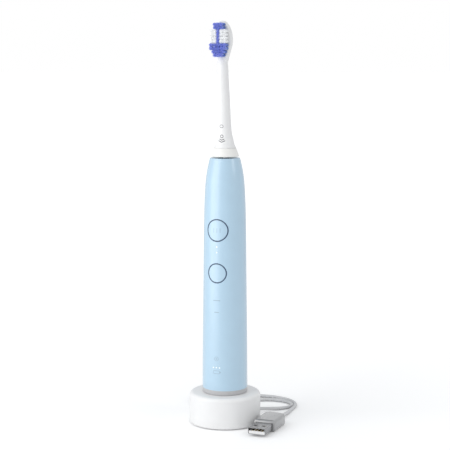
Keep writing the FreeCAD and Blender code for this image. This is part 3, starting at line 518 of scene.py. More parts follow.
def make_mark_group():
    """A printed bar, pill or ring on the front: a rounded rectangle, solid or only its line."""
    group, given, result = group_with(
        "Printed mark",
        [
            ("Vector", VECTOR, None),
            ("Across", FLOAT, 0.0),
            ("Up", FLOAT, 0.0),
            ("Half Width", FLOAT, 0.001),
            ("Half Height", FLOAT, 0.001),
            ("Corner", FLOAT, 0.001),
            ("Line", FLOAT, 1.0),
        ],
        [("Mask", FLOAT)],
    )
    across, up, front = front_axes(group, given)
    beyond = []
    for offset, label in ((across, "Half Width"), (up, "Half Height")):
        side = reckon(group, "SUBTRACT", given.outputs[label], given.outputs["Corner"])
        past = reckon(group, "SUBTRACT", reckon(group, "ABSOLUTE", offset), side)
        beyond.append(reckon(group, "MAXIMUM", past, 0.0))
    squares = [reckon(group, "MULTIPLY", b, b) for b in beyond]
    reach = reckon(group, "SQRT", reckon(group, "ADD", *squares))
    distance = reckon(group, "SUBTRACT", reach, given.outputs["Corner"])
    inner = reckon(group, "SUBTRACT", 0.0, reckon(group, "ADD", distance, given.outputs["Line"]))
    shape = reckon(group, "MAXIMUM", distance, inner)
    mask = ramp(group, shape, -EDGE_SOFTNESS, EDGE_SOFTNESS, 1.0, 0.0)
    group.links.new(reckon(group, "MULTIPLY", mask, front), result.inputs["Mask"])


def make_chevron_group():
    """A printed chevron on the front, its point downwards."""
    group, given, result = group_with(
        "Printed chevron",
        [
            ("Vector", VECTOR, None),
            ("Across", FLOAT, 0.0),
            ("Up", FLOAT, 0.0),
            ("Half Width", FLOAT, 0.002),
            ("Slope", FLOAT, 0.5),
            ("Line", FLOAT, 0.0003),
        ],
        [("Mask", FLOAT)],
    )
    across, up, front = front_axes(group, given)
    aside = reckon(group, "ABSOLUTE", across)
    rise = reckon(group, "MULTIPLY", aside, given.outputs["Slope"])
    off = reckon(group, "ABSOLUTE", reckon(group, "SUBTRACT", up, rise))
    line = reckon(group, "SUBTRACT", off, given.outputs["Line"])
    ends = reckon(group, "SUBTRACT", aside, given.outputs["Half Width"])
    mask = ramp(group, reckon(group, "MAXIMUM", line, ends), -EDGE_SOFTNESS, EDGE_SOFTNESS, 1.0, 0.0)
    group.links.new(reckon(group, "MULTIPLY", mask, front), result.inputs["Mask"])


def make_groups():
    make_grain_group()
    make_dust_and_shade_group()
    make_brushed_group()
    make_mark_group()
    make_chevron_group()


def opaque(colour, share=1.0):
    """A colour with its alpha, darkened to a share."""
    return (*[c * share for c in colour], 1.0)


class Finish:
    """A material in the making: its nodes, its shader and the colour its surface has so far."""

    def __init__(self, name):
        self.name = name
        self.material = bpy.data.materials.new(name)
        self.material.use_nodes = True
        self.tree = self.material.node_tree
        self.shader = self.tree.nodes["Principled BSDF"]
        self.place = self.tree.nodes.new("ShaderNodeTexCoord").outputs["Object"]
        self.tone = None

    def wire(self, socket, label):
        self.tree.links.new(socket, self.shader.inputs[label])

    def plain(self, values):
        """Set what is the same all over, on the shader's own sockets."""
        for label, value in values.items():
            self.shader.inputs[label].default_value = value

    def colour(self, tone):
        self.tone = tone
        self.wire(tone, "Base Color")

    def surface(self, effect, values, relief):
        """Take colour, roughness and relief from an effect that several materials share."""
        made = place_group(self.tree, effect, {"Vector": self.place, **values})
        self.colour(made.outputs["Colour"])
        self.wire(made.outputs["Roughness"], "Roughness")
        bump = self.tree.nodes.new("ShaderNodeBump")
        bump.inputs["Distance"].default_value = relief
        self.tree.links.new(made.outputs["Height"], bump.inputs["Height"])
        self.wire(bump.outputs["Normal"], "Normal")

    def dust_and_shade(self, foot, reach, amount, **others):
        """Settle dust over the colour, thinner upwards; on the lead this is painted shade on its underside.
        """
        values = {"Vector": self.place, "Colour": self.tone, "Foot": foot, "Reach": reach, "Amount": amount}
        self.colour(place_group(self.tree, "Settled dust", {**values, **others}).outputs["Colour"])

    def mark(self, across, up, half_width, half_height, corner, line=1.0):
        """Mask of a printed bar, pill or ring, by its middle on the front.

        It is solid unless the line is narrower than the mark, and then only its outline is printed.
        """
        values = {
            "Vector": self.place,
            "Across": across,
            "Up": up,
            "Half Width": half_width,
            "Half Height": half_height,
            "Corner": corner,
            "Line": line,
        }
        return place_group(self.tree, "Printed mark", values).outputs["Mask"]

    def chevron(self, up, half_width):
        """Mask of a printed chevron, by its point on the front."""
        values = {"Vector": self.place, "Up": up, "Half Width": half_width, "Slope": 0.45, "Line": 0.32 * MM}
        return place_group(self.tree, "Printed chevron", values).outputs["Mask"]

    def printed(self, masks, ink, strength):
        """Print the masks in one ink over the colour that is there."""
        whole = masks[0]
        for mask in masks[1:]:
            whole = reckon(self.tree, "MAXIMUM", whole, mask)
        share = reckon(self.tree, "MULTIPLY", whole, strength)
        self.colour(blend_colours(self.tree, share, self.tone, opaque(ink)))


def moulded(name, colour, roughness, grain=4000.0, relief=0.006 * MM, patch=0.93):
    """A moulded plastic or rubber."""
    finish = Finish(name)
    values = {
        "Colour": opaque(colour),
        "Patch Colour": opaque(colour, patch),
        "Grain Scale": grain,
        "Roughness": roughness,
    }
    finish.surface("Moulded grain", values, relief)
    return finish


def metal(name, colour, roughness, stretch, relief=0.002 * MM):
    """A metal, its fine lines drawn out where the stretch is small."""
    finish = Finish(name)
    values = {
        "Stretch": stretch,
        "Roughness": roughness,
        "Colour": opaque(colour),
        "Line Colour": opaque(colour, 0.82),
    }
    finish.plain({"Metallic": 1.0})
    finish.surface("Brushed lines", values, relief)
    return finish


# ---- Finishes that show ----------------------------------------------------------------------
MARK_INK = (0.16, 0.24, 0.34)
NECK_INK = (0.12, 0.12, 0.13)
SATIN_LACQUER = {"Specular IOR Level": 0.9, "Coat Weight": 0.9, "Coat Roughness": 0.26}


def handle_finish(colours):
    """Satin blue shell with plain printed marks: two bars for the modes, a battery outline and a dial."""
    finish = moulded("handle_blue", colours.handle, 0.36, relief=0.004 * MM, patch=0.97)
    bar = 0.28 * MM  # half its height
    lamps = LAMPS_FOOT + 0.5 * MM
    battery = lamps - 3.1 * MM
    dial = lamps + 6.0 * MM
    masks = [
        finish.mark(0.0, MODE_BUTTON_Z - 18.4 * MM, 2.6 * MM, bar, bar),
        finish.mark(0.0, MODE_BUTTON_Z - 26.4 * MM, 1.7 * MM, bar, bar),
        finish.mark(0.0, battery, 2.4 * MM, 1.15 * MM, 0.7 * MM, 0.3 * MM),
        finish.mark(2.75 * MM, battery, 0.25 * MM, 0.5 * MM, 0.2 * MM),
        finish.mark(0.0, dial, 1.5 * MM, 1.5 * MM, 1.5 * MM, 0.3 * MM),
        finish.mark(0.0, dial, 0.45 * MM, 0.45 * MM, 0.45 * MM),
    ]
    finish.printed(masks, MARK_INK, 0.55)
    finish.plain(SATIN_LACQUER)
    return finish.material


def button_finish(colours):
    """The shell's blue, with three faint upright bars on the upper button."""
    finish = moulded("button_blue", colours.handle, 0.34, relief=0.003 * MM, patch=0.97)
    bar = 0.3 * MM  # half its width
    places = (-2.3 * MM, 0.0, 2.3 * MM)
    masks = [finish.mark(across, POWER_BUTTON_Z, bar, 1.6 * MM, bar) for across in places]
    finish.printed(masks, MARK_INK, 0.3)
    finish.plain(SATIN_LACQUER)
    return finish.material


def ring_finish(colours):
    return moulded("ring_slate", colours.button_ring, 0.5, grain=6000.0).material


def end_cap_finish(colours):
    finish = moulded("cap_grey", colours.end_cap, 0.42)
    finish.dust_and_shade(foot=CHARGER_TOP.z, reach=2 * MM, amount=0.2)
    return finish.material


def charger_finish(colours):
    """White housing, satin on its side, with a trace of dust near the table."""
    finish = moulded("charger_white", colours.charger, 0.33, relief=0.005 * MM, patch=0.97)
    finish.dust_and_shade(foot=CHARGER_FOOT.z, reach=5 * MM, amount=0.12)
    finish.plain({"Coat Weight": 0.12, "Coat Roughness": 0.2})
    return finish.material


def lead_finish(colours):
    """Soft grey jacket with a fine matt grain, with painted shade darkening its underside where it lies on
    the table.
    """
    finish = moulded("cord_grey", colours.lead, 0.52, grain=5000.0, relief=0.012 * MM)
    # Painted shade: a dark mix over the lower half of the jacket stands for the shade on its underside.
    painted_underside_shade = {"Dust Colour": (0.14, 0.14, 0.145, 1.0)}
    finish.dust_and_shade(foot=0.4 * MM, reach=1.5 * MM, amount=0.75, **painted_underside_shade)
    return finish.material


def plug_finish(colours):
    """Grey moulding with a high gloss, brightest where it is seen at a low angle."""
    finish = moulded("plug_white", colours.plug, 0.24, relief=0.004 * MM)
    finish.plain({"IOR": 1.7, "Coat Weight": 1.0, "Coat IOR": 1.8, "Coat Roughness": 0.12})
    finish.dust_and_shade(foot=PLUG_LOW.z, reach=3 * MM, amount=0.2)
    return finish.material


def sleeve_finish():
    return metal("plug_steel", (0.46, 0.46, 0.47), 0.2, (3500.0, 160.0, 3500.0)).material


def collar_finish():
    return moulded("collar_cream", (0.87, 0.865, 0.84), 0.4, patch=0.98).material


def light_through(weight, scale):
    """Light that spreads a little way inside a pale plastic."""
    return {
        "Subsurface Weight": weight,
        "Subsurface Radius": (1.0, 1.0, 1.0),
        "Subsurface Scale": scale,
    }


def brush_finish(colours):
    """White moulding that lets a little light through, with plain fitting marks in grey."""
    finish = moulded("brush_white", colours.brush, 0.3, relief=0.003 * MM, patch=0.98)
    finish.plain(light_through(0.25, 1.2 * MM))
    ring, cup = 1.2 * MM, COLLAR_FOOT + 20.4 * MM
    masks = [
        finish.mark(0.0, COLLAR_FOOT + 13.7 * MM, ring, ring, ring, 0.48 * MM),
        finish.chevron(COLLAR_FOOT + 11.2 * MM, 1.7 * MM),
        finish.chevron(COLLAR_FOOT + 9.8 * MM, 2.3 * MM),
        finish.mark(0.0, cup, 1.3 * MM, 1.1 * MM, 1.0 * MM, 0.3 * MM),
    ]
    finish.printed(masks, NECK_INK, 0.9)
    return finish.material


def bristle_finish(name, root, tip, glow):
    """Nylon whose bristles differ a little, with painted shade darkening their feet and painted light paling
    their ends.

    A faint glow stands for the light that thin nylon passes on from one bristle to the next.
    """
    finish = Finish(name)
    tree = finish.tree
    split = tree.nodes.new("ShaderNodeSeparateXYZ")
    tree.links.new(finish.place, split.inputs[0])
    # Painted light and shade: the colour runs from a shaded tone at the bristles' feet to a lit tone at their
    # ends.
    tip_light_share = ramp(tree, split.outputs["Y"], PLATE_FRONT - 2.0 * MM, TUFTS_LOW.y)
    shade = tree.nodes.new("ShaderNodeAttribute")
    shade.attribute_name = "shade"
    own = shade.outputs["Fac"]
    painted_tip_light = reckon(tree, "MULTIPLY", tip_light_share, 0.75)
    share = reckon(tree, "ADD", painted_tip_light, reckon(tree, "MULTIPLY", own, 0.35))
    finish.colour(blend_colours(tree, share, opaque(root), opaque(tip)))
    finish.wire(reckon(tree, "ADD", 0.3, reckon(tree, "MULTIPLY", own, 0.15)), "Roughness")
    finish.wire(finish.tone, "Emission Color")
    finish.plain({"Emission Strength": glow, **light_through(0.3, 0.5 * MM)})
    return finish.material


def light_guide_finish():
    finish = moulded("light_guide", (0.88, 0.93, 0.96), 0.18, relief=0.002 * MM)
    finish.plain({"Emission Color": (0.9, 0.97, 1.0, 1.0), "Emission Strength": 0.12})
    return finish.material


# ---- Finishes of the sealed pieces -----------------------------------------------------------
def inner_finishes():
    """Finish of each sealed piece, by the name of its material slot in the record."""
    finishes = [
        moulded("base_white", (0.70, 0.70, 0.71), 0.5),
        moulded("foot_rubber", (0.05, 0.05, 0.055), 0.7, relief=0.02 * MM),
        moulded("ferrite", (0.03, 0.03, 0.033), 0.65, grain=7000.0, relief=0.02 * MM),
        metal("copper_wire", (0.62, 0.27, 0.12), 0.35, (300.0, 300.0, 9000.0), 0.05 * MM),
        moulded("circuit_board", (0.02, 0.14, 0.06), 0.35, grain=2500.0),
        moulded("chip_black", (0.02, 0.02, 0.022), 0.55),
        moulded("tongue_white", (0.86, 0.86, 0.86), 0.35),
        metal("contact_gold", (0.78, 0.56, 0.22), 0.22, (4000.0, 300.0, 4000.0)),
        moulded("seal_rubber", (0.02, 0.02, 0.022), 0.6),
        moulded("bobbin_natural", (0.70, 0.66, 0.56), 0.5),
        moulded("chassis_white", (0.62, 0.63, 0.65), 0.5),
        moulded("cell_wrap", (0.08, 0.24, 0.16), 0.3),
        metal("motor_alloy", (0.45, 0.46, 0.48), 0.45, (1500.0, 1500.0, 1500.0), 0.02 * MM),
        metal("bearing_bronze", (0.45, 0.30, 0.14), 0.5, (5000.0, 5000.0, 5000.0), 0.02 * MM),
        metal("stator_steel", (0.25, 0.26, 0.28), 0.4, (200.0, 200.0, 9000.0), 0.03 * MM),
        metal("shaft_steel", (0.58, 0.59, 0.61), 0.18, (400.0, 400.0, 9000.0)),
        metal("magnet_nickel", (0.50, 0.50, 0.52), 0.2, (900.0, 900.0, 900.0)),
    ]
    return {finish.name: finish.material for finish in finishes}


def dress(node, finish):
    """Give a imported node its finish."""
    piece = frame["nodes"][node]
    if not piece.material_slots:
        piece.data.materials.append(finish)
    for slot in piece.material_slots:
        slot.material = finish


def paint(piece, finish):
    """Give a new piece its one finish."""
    piece.data.materials.clear()
    piece.data.materials.append(finish)


# ---- Lead and plug ---------------------------------------------------------------------------
def coil_points():
    """The coil's turns: four laid side by side from outside in, then four on top from inside out.

    Each turn keeps to its lane, and moves over to the next one in its last eighth.
    """
    outermost = (COIL_HIGH.x - COIL_LOW.x - CORD_DIAMETER) / 2
    upper_z = CORD_Z + CORD_DIAMETER
    lanes = [outermost - lane * CORD_DIAMETER for lane in range(COIL_TURNS_WIDE)]
    radii = lanes + lanes[::-1]
    reach_out = 1 / math.cos(math.pi / COIL_POINTS_A_TURN)  # the curve runs inside its points
    lane_change = 1 / 8
    climb_start = COIL_TURNS_WIDE - 2 * lane_change
    points = []
    for step in range(round(COIL_TURNS * COIL_POINTS_A_TURN) + 1):
        turns = step / COIL_POINTS_A_TURN
        turn = min(int(turns), len(radii) - 1)
        following = radii[min(turn + 1, len(radii) - 1)]
        share = (turns - turn - (1 - lane_change)) / lane_change
        radius = radii[turn] + max(0.0, min(1.0, share)) * (following - radii[turn])
        climb = (turns - climb_start) / lane_change
        z = CORD_Z + max(0.0, min(1.0, climb)) * (upper_z - CORD_Z)
        angle = math.radians(COIL_ENTRY_ANGLE) - 2 * math.pi * turns
        if 0 < turns < COIL_TURNS:
            radius *= reach_out
        x = COIL_MIDDLE.x + radius * math.cos(angle)
        y = COIL_MIDDLE.y + radius * math.sin(angle)
        points.append((x, y, z))
    return points


def make_lead(colours):
    """One cable from the strain relief through the coil's turns to the plug."""
    curve = bpy.data.curves.new("charger_lead", "CURVE")
    curve.dimensions = "3D"
    curve.bevel_depth = CORD_DIAMETER / 2
    curve.bevel_resolution = 4
    curve.resolution_u = 5
    curve.use_fill_caps = True
    points = LEAD_ROUTE + coil_points() + PLUG_ROUTE
    line = curve.splines.new("NURBS")
    line.points.add(len(points) - 1)
    for point, place in zip(line.points, points):
        point.co = (*place, 1.0)
    line.order_u = 3
    line.use_endpoint_u = True
    lead = bpy.data.objects.new("charger_lead", curve)
    bpy.context.scene.collection.objects.link(lead)
    paint(lead, lead_finish(colours))
    stand_for(lead, "charger", "cord_grey", "cord_lead", "cord_coil", "cord_to_plug")
    return lead


class TOOTHBRUSH_OT_lead(bpy.types.Operator):
    """Lay the lead from the charger through its coil to the plug"""

    bl_idname = "toothbrush.lead"
    bl_label = "Lead"

    def execute(self, context):
        lead = make_lead(context.scene.toothbrush_colours)
        return {"FINISHED"}


class TOOTHBRUSH_OT_strain_relief(bpy.types.Operator):
    """Model the tapered strain relief where the lead leaves the charger"""

    bl_idname = "toothbrush.strain_relief"
    bl_label = "Strain relief"

    def execute(self, context):
        root, tip = 2.1 * MM, 1.6 * MM
        inside = 1.0 * MM
        rings = 5
        step = BOOT_LENGTH / (2 * rings)
        band, shoulder = step * 0.9, step * 0.1
        waist = 0.84
        deselect_all()
        bpy.ops.mesh.primitive_circle_add(
            vertices=32,
            radius=root,
            fill_type="NGON",
            location=EXIT_DIRECTION * (CHARGER_RADIUS - inside) + Vector((0, 0, EXIT_HEIGHT)),
            rotation=EXIT_DIRECTION.to_track_quat("Z", "Y").to_euler(),
        )
        boot = newest("strain_relief")
        edit(boot, "FACE")
        bpy.ops.mesh.select_all(action="SELECT")
        grow(EXIT_DIRECTION, inside, 1.0)
        radius = root
        for index in range(rings):
            wide = root + (tip - root) * (2 * index + 1) / (2 * rings)
            grow(EXIT_DIRECTION, band, wide / radius)
            grow(EXIT_DIRECTION, shoulder, waist)
            grow(EXIT_DIRECTION, band, 1.0)
            grow(EXIT_DIRECTION, shoulder, 1 / waist)
            radius = wide
        bpy.ops.mesh.select_all(action="SELECT")
        bpy.ops.mesh.normals_make_consistent(inside=False)
        close()
        apply_place(boot)
        smooth(boot)
        paint(boot, bpy.data.objects["charger_lead"].data.materials[0])
        stand_for(boot, "charger", "cord_grey", "cord_boot")
        return {"FINISHED"}


def make_plug_moulding(colours):
    """Overmoulding: flat top, softly rounded sides, a wider curve at its rear and a chamfer in front."""
    rear_curve, front_curve, rim_curve = 4.2 * MM, 1.2 * MM, 1.9 * MM
    moulding = box_piece("plug_moulding", PLUG_LOW, PLUG_HIGH)
    edit(moulding, "EDGE")
    select_edges(lambda a, b: near(a.x, b.x) and near(a.y, b.y) and near(a.y, PLUG_HIGH.y))
    bevel(rear_curve, 7)
    select_edges(lambda a, b: near(a.x, b.x) and near(a.y, b.y) and near(a.y, PLUG_LOW.y))
    bevel(front_curve, 4)
    select_edges(lambda a, b: near(a.z, b.z) and (near(a.z, PLUG_LOW.z) or near(a.z, PLUG_HIGH.z)))
    bevel(rim_curve, 5)
    select_faces(lambda middle, normal: normal.y < -0.99)
    recess_edge, recess_depth = 0.5 * MM, 0.25 * MM
    bpy.ops.mesh.inset(thickness=recess_edge)
    bpy.ops.transform.translate(value=(0, recess_depth, 0))
    close()
    room = 0.06 * MM
    low = Vector((SLEEVE_LOW.x - room, PLUG_LOW.y - 1 * MM, SLEEVE_LOW.z - room))
    high = Vector((SLEEVE_HIGH.x + room, SLEEVE_HIGH.y + room, SLEEVE_HIGH.z + room))
    cut(moulding, box_piece("sleeve_room", low, high))
    smooth(moulding, 40)
    paint(moulding, plug_finish(colours))
    stand_for(moulding, "charger", "plug_white", "plug_body")


def make_plug_sleeve():
    """Steel sleeve: a rounded tube with two square holes above and below, and a seam beneath."""
    wall, corner = 0.3 * MM, 0.7 * MM
    sleeve = box_piece("plug_sleeve", SLEEVE_LOW, SLEEVE_HIGH)
    edit(sleeve, "EDGE")
    select_edges(lambda a, b: near(a.x, b.x) and near(a.z, b.z))
    bevel(corner, 4)
    bpy.ops.mesh.select_mode(type="FACE")
    select_faces(lambda middle, normal: abs(normal.y) > 0.99)
    bpy.ops.mesh.delete(type="FACE")
    close()
    shell = sleeve.modifiers.new("Wall", "SOLIDIFY")
    shell.thickness = wall
    shell.offset = -1.0
    apply_modifiers(sleeve)
    middle = (SLEEVE_LOW + SLEEVE_HIGH) / 2
    hole_half = Vector((1.25 * MM, 1.15 * MM, 3 * MM))
    hole_aside, hole_back = 2.9 * MM, 6.3 * MM
    for side in (-1, 1):
        hole = Vector((middle.x + side * hole_aside, SLEEVE_LOW.y + hole_back, middle.z))
        cut(sleeve, box_piece("square_hole", hole - hole_half, hole + hole_half))
    seam_half, seam_depth, past = 0.06 * MM, 0.12 * MM, 1 * MM
    seam_low = Vector((middle.x - seam_half, SLEEVE_LOW.y - past, SLEEVE_LOW.z - past))
    seam_high = Vector((middle.x + seam_half, SLEEVE_HIGH.y + past, SLEEVE_LOW.z + seam_depth))
    cut(sleeve, box_piece("seam", seam_low, seam_high))
    smooth(sleeve, 30)
    paint(sleeve, sleeve_finish())
    stand_for(sleeve, "charger", "plug_steel", "plug_shell")


class TOOTHBRUSH_OT_plug(bpy.types.Operator):
    """Model the plug's moulding and its steel sleeve"""

    bl_idname = "toothbrush.plug"
    bl_label = "Plug"

    def execute(self, context):
        make_plug_moulding(context.scene.toothbrush_colours)
        make_plug_sleeve()
        return {"FINISHED"}


# ---- Bristles --------------------------------------------------------------------------------
def make_filament(radius, length):
    """One bristle along -Y from the origin, with a rounded end."""
    deselect_all()
    bpy.ops.mesh.primitive_cylinder_add(
        vertices=5,
        radius=radius,
        depth=length,
        end_fill_type="NGON",
        location=(0, -length / 2, 0),
        rotation=(math.pi / 2, 0, 0),
    )
    filament = newest("filament")
    apply_place(filament)
    edit(filament, "FACE")
    select_faces(lambda middle, normal: normal.y < -0.9)
    bpy.ops.mesh.extrude_region_move(TRANSFORM_OT_translate={"value": (0, -0.6 * radius, 0)})
    bpy.ops.transform.resize(value=(0.55, 1.0, 0.55))
    close()
    return filament


def make_tuft(settings, chance):
    """A round bunch of bristles, packed as seeds are in a sunflower, splayed towards its ends."""
    angle_jitter, lean_jitter = 0.2, math.radians(0.5)
    length_jitter, rounding = 0.035, 0.02
    filament = make_filament(settings.filament_radius, PLATE_FRONT + HOLE_DEPTH - TUFTS_LOW.y)
    golden = math.pi * (3 - math.sqrt(5))
    count = settings.filaments
    bunch = []
    for index in range(count):
        out = math.sqrt((index + 0.5) / count)
        angle = index * golden + chance.uniform(-angle_jitter, angle_jitter)
        copy = filament.copy()
        copy.data = filament.data.copy()
        bpy.context.scene.collection.objects.link(copy)
        away = Vector((math.cos(angle), 0, math.sin(angle)))
        lean = settings.splay * out + chance.gauss(0, lean_jitter)
        tilt = Matrix.Rotation(lean, 4, away.cross(Vector((0, -1, 0))).normalized() * -1)
        share = 1 - chance.random() * length_jitter - rounding * out * out
        stretch = Matrix.Diagonal((1, share, 1, 1))
        reach = (TUFT_RADIUS - settings.filament_radius) * out
        copy.data.transform(Matrix.Translation(away * reach) @ tilt @ stretch)
        shade = copy.data.attributes.new("shade", "FLOAT", "POINT")
        own = chance.random()
        shade.data.foreach_set("value", [own] * len(copy.data.vertices))
        bunch.append(copy)
    bpy.data.objects.remove(filament)
    return join(bunch, "tuft")


def tuft_grid():
    """Column, row and place of each tuft. Row 0 is the lowest, and column 0 is the middle one."""
    lowest = TUFTS_LOW.z + TUFT_RADIUS
    for row, count in enumerate(TUFTS_IN_ROWS):
        for index in range(count):
            column = index - (count - 1) / 2
            yield column, row, column * TUFT_PITCH, lowest + row * TUFT_ROW_PITCH


def is_white(column, row):
    """White tufts stand in two bunches beside the middle column, above the middle of the plate."""
    return column != 0 and row in (4, 5, 6, 7)


def tuft_length_share(column, row):
    """Length of a tuft over that of the longest."""
    tall = row in (0, len(TUFTS_IN_ROWS) - 1) or (abs(column) == 2 and row in (2, 3))
    return 1.0 if tall else 0.9


def tuft_lean(column, row):
    """Lean of a tuft, in degrees: sideways, and upwards."""
    sideways = 2.5 * column if row in (2, 3) else 0.8 * column
    upwards = {0: 1.0, len(TUFTS_IN_ROWS) - 1: -2.0}.get(row, 0.0)
    return sideways, upwards


def plant_tuft(kind, place, turn, share):
    """A copy of a tuft, its foot at a place, turned, and its length cut to a share."""
    tuft = kind.copy()
    tuft.data = kind.data.copy()
    bpy.context.scene.collection.objects.link(tuft)
    tuft.data.transform(Matrix.Translation(place) @ turn @ Matrix.Diagonal((1, share, 1, 1)))
    return tuft


class TOOTHBRUSH_OT_bristles(bpy.types.Operator):
    """Stand the bristles in their holes, tuft by tuft"""

    bl_idname = "toothbrush.bristles"
    bl_label = "Bristles"

    def execute(self, context):
        settings = context.scene.toothbrush_bristles
        chance = random.Random(settings.seed)
        kinds = [make_tuft(settings, chance) for _ in range(3)]
        blue, white = [], []
        for column, row, x, z in tuft_grid():
            kind = chance.choice(kinds)
            sideways, upwards = tuft_lean(column, row)
            turn = (
                Matrix.Rotation(math.radians(sideways), 4, "Z")
                @ Matrix.Rotation(math.radians(-upwards), 4, "X")
                @ Matrix.Rotation(chance.uniform(0, 2 * math.pi), 4, "Y")
            )
            place = (x, PLATE_FRONT + HOLE_DEPTH, z)
            bunch = white if is_white(column, row) else blue
            bunch.append(plant_tuft(kind, place, turn, tuft_length_share(column, row)))
        for kind in kinds:
            bpy.data.objects.remove(kind)
        deep = context.scene.toothbrush_colours.bristles
        # Painted light and shade: each nylon runs from a shaded tone at the bristles' feet to a lit tone at
        # their ends.
        pale = [0.45 * c + share for c, share in zip(deep, (0.32, 0.32, 0.62))]
        blue_nylon = bristle_finish("nylon_blue", deep, pale, 0.06)
        white_nylon = bristle_finish("nylon_white", (0.86, 0.87, 0.89), (0.95, 0.96, 0.97), 0.1)
        self.bind(blue, "bristles_blue", "blue_tufts", blue_nylon, "nylon_blue")
        self.bind(white, "bristles_white", "white_tufts", white_nylon, "nylon_white")
        return {"FINISHED"}

    def bind(self, bunch, name, node, finish, slot):
        """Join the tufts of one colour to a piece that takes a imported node's place."""
        bristles = join(bunch, name)
        smooth(bristles, 50)
        paint(bristles, finish)
        stand_for(bristles, "brush_head", slot, node)


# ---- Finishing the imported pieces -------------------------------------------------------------
class TOOTHBRUSH_OT_handle(bpy.types.Operator):
    """Finish the handle's shell, buttons, rings, lights and end cap"""

    bl_idname = "toothbrush.handle"
    bl_label = "Handle"

    def execute(self, context):
        colours = context.scene.toothbrush_colours
        dress("handle_housing", handle_finish(colours))
        buttons = button_finish(colours)
        dress("power_button", buttons)
        dress("mode_button", buttons)
        rings = ring_finish(colours)
        dress("power_button_ring", rings)
        dress("mode_button_ring", rings)
        lights = light_guide_finish()
        dress("light_guides", lights)
        dress("indicator_lamps", lights)
        dress("end_cap", end_cap_finish(colours))
        return {"FINISHED"}


class TOOTHBRUSH_OT_charger(bpy.types.Operator):
    """Finish the charger's housing"""

    bl_idname = "toothbrush.charger"
    bl_label = "Charger"

    def execute(self, context):
        dress("charger_housing", charger_finish(context.scene.toothbrush_colours))
        return {"FINISHED"}


class TOOTHBRUSH_OT_brush_head(bpy.types.Operator):
    """Finish the brush head's moulding and its collar"""

    bl_idname = "toothbrush.brush_head"
    bl_label = "Brush head"

    def execute(self, context):
        dress("brush_head_body", brush_finish(context.scene.toothbrush_colours))
        dress("collar_ring", collar_finish())
        return {"FINISHED"}


class TOOTHBRUSH_OT_inner_works(bpy.types.Operator):
    """Finish the pieces that are sealed in the handle, the charger and the plug"""

    bl_idname = "toothbrush.inner_works"
    bl_label = "Inner works"

    def execute(self, context):
        finishes = inner_finishes()
        for part in frame["record"]["subparts"]:
            finish = finishes.get(part["material_slot"])
            if finish is not None:
                dress(part["node"], finish)
        return {"FINISHED"}


# ---- Stage -----------------------------------------------------------------------------------
FLOOR_HALF = 60.0
OBJECT_MIDDLE = (0, 0, 0.13)


def aim(thing, place, target):
    thing.location = place
    thing.rotation_euler = (Vector(target) - Vector(place)).to_track_quat("-Z", "Y").to_euler()


def around(degrees, distance, height):
    """Place at an angle round the object, to the right of its front."""
    angle = math.radians(degrees)
    return Vector((distance * math.sin(angle), -distance * math.cos(angle), height))


def soft_light(name, place, target, size, power):
    """A rectangular lamp that lights the object but is not seen itself."""
    data = bpy.data.lights.new(name, "AREA")
    data.shape = "RECTANGLE"
    data.size, data.size_y = size
    data.energy = power
    light = bpy.data.objects.new(name, data)
    bpy.context.scene.collection.objects.link(light)
    aim(light, place, target)
    light.visible_camera = False


def make_camera(studio):
    data = bpy.data.cameras.new("camera")
    data.sensor_width = 36.0
    data.lens = studio.lens
    data.clip_start, data.clip_end = 0.01, 100.0
    camera = bpy.data.objects.new("camera", data)
    bpy.context.scene.collection.objects.link(camera)
    camera.location = around(math.degrees(studio.azimuth), studio.distance, studio.height)
    camera.rotation_euler = (math.pi / 2 - studio.pitch, 0, studio.azimuth)
    bpy.context.scene.camera = camera


def make_floor():
    deselect_all()
    bpy.ops.mesh.primitive_plane_add(size=2 * FLOOR_HALF, location=(0, 0, 0))
    floor = newest("floor")
    finish = Finish("pale_floor")
    patches = noise(finish.tree, finish.place, 3.0)
    finish.colour(blend_colours(finish.tree, patches, (0.97, 0.97, 0.97, 1), (0.95, 0.95, 0.955, 1)))
    finish.plain({"Roughness": 0.6, "Specular IOR Level": 0.2})
    glow_seen_from_camera(finish)
    paint(floor, finish.material)


def glow_seen_from_camera(finish):
    """Lift the floor to white for the camera alone, more the further it is from the object."""
    tree = finish.tree
    distance = tree.nodes.new("ShaderNodeVectorMath")
    distance.operation = "LENGTH"
    tree.links.new(finish.place, distance.inputs[0])
    near_by, far_off = 0.05, 0.6
    lift = ramp(tree, distance.outputs["Value"], near_by, far_off, 0.14, 0.4)
    seen = tree.nodes.new("ShaderNodeLightPath").outputs["Is Camera Ray"]
    glow = tree.nodes.new("ShaderNodeEmission")
    tree.links.new(reckon(tree, "MULTIPLY", lift, seen), glow.inputs["Strength"])
    total = tree.nodes.new("ShaderNodeAddShader")
    tree.links.new(finish.shader.outputs[0], total.inputs[0])
    tree.links.new(glow.outputs[0], total.inputs[1])
    tree.links.new(total.outputs[0], tree.nodes["Material Output"].inputs["Surface"])


def make_room(studio):
    """Even light all round, and plain white where the camera sees past the floor."""
    world = bpy.data.worlds.new("room")
    world.use_nodes = True
    bpy.context.scene.world = world
    tree = world.node_tree
    tree.nodes.clear()
    seen = tree.nodes.new("ShaderNodeBackground")
    seen.inputs["Color"].default_value = (1, 1, 1, 1)
    seen.inputs["Strength"].default_value = 1.0
    lit = tree.nodes.new("ShaderNodeBackground")
    lit.inputs["Color"].default_value = (0.97, 0.985, 1.0, 1)
    lit.inputs["Strength"].default_value = studio.room_light
    path = tree.nodes.new("ShaderNodeLightPath")
    choice = tree.nodes.new("ShaderNodeMixShader")
    output = tree.nodes.new("ShaderNodeOutputWorld")
    tree.links.new(path.outputs["Is Camera Ray"], choice.inputs[0])
    tree.links.new(lit.outputs[0], choice.inputs[1])
    tree.links.new(seen.outputs[0], choice.inputs[2])
    tree.links.new(choice.outputs[0], output.inputs["Surface"])


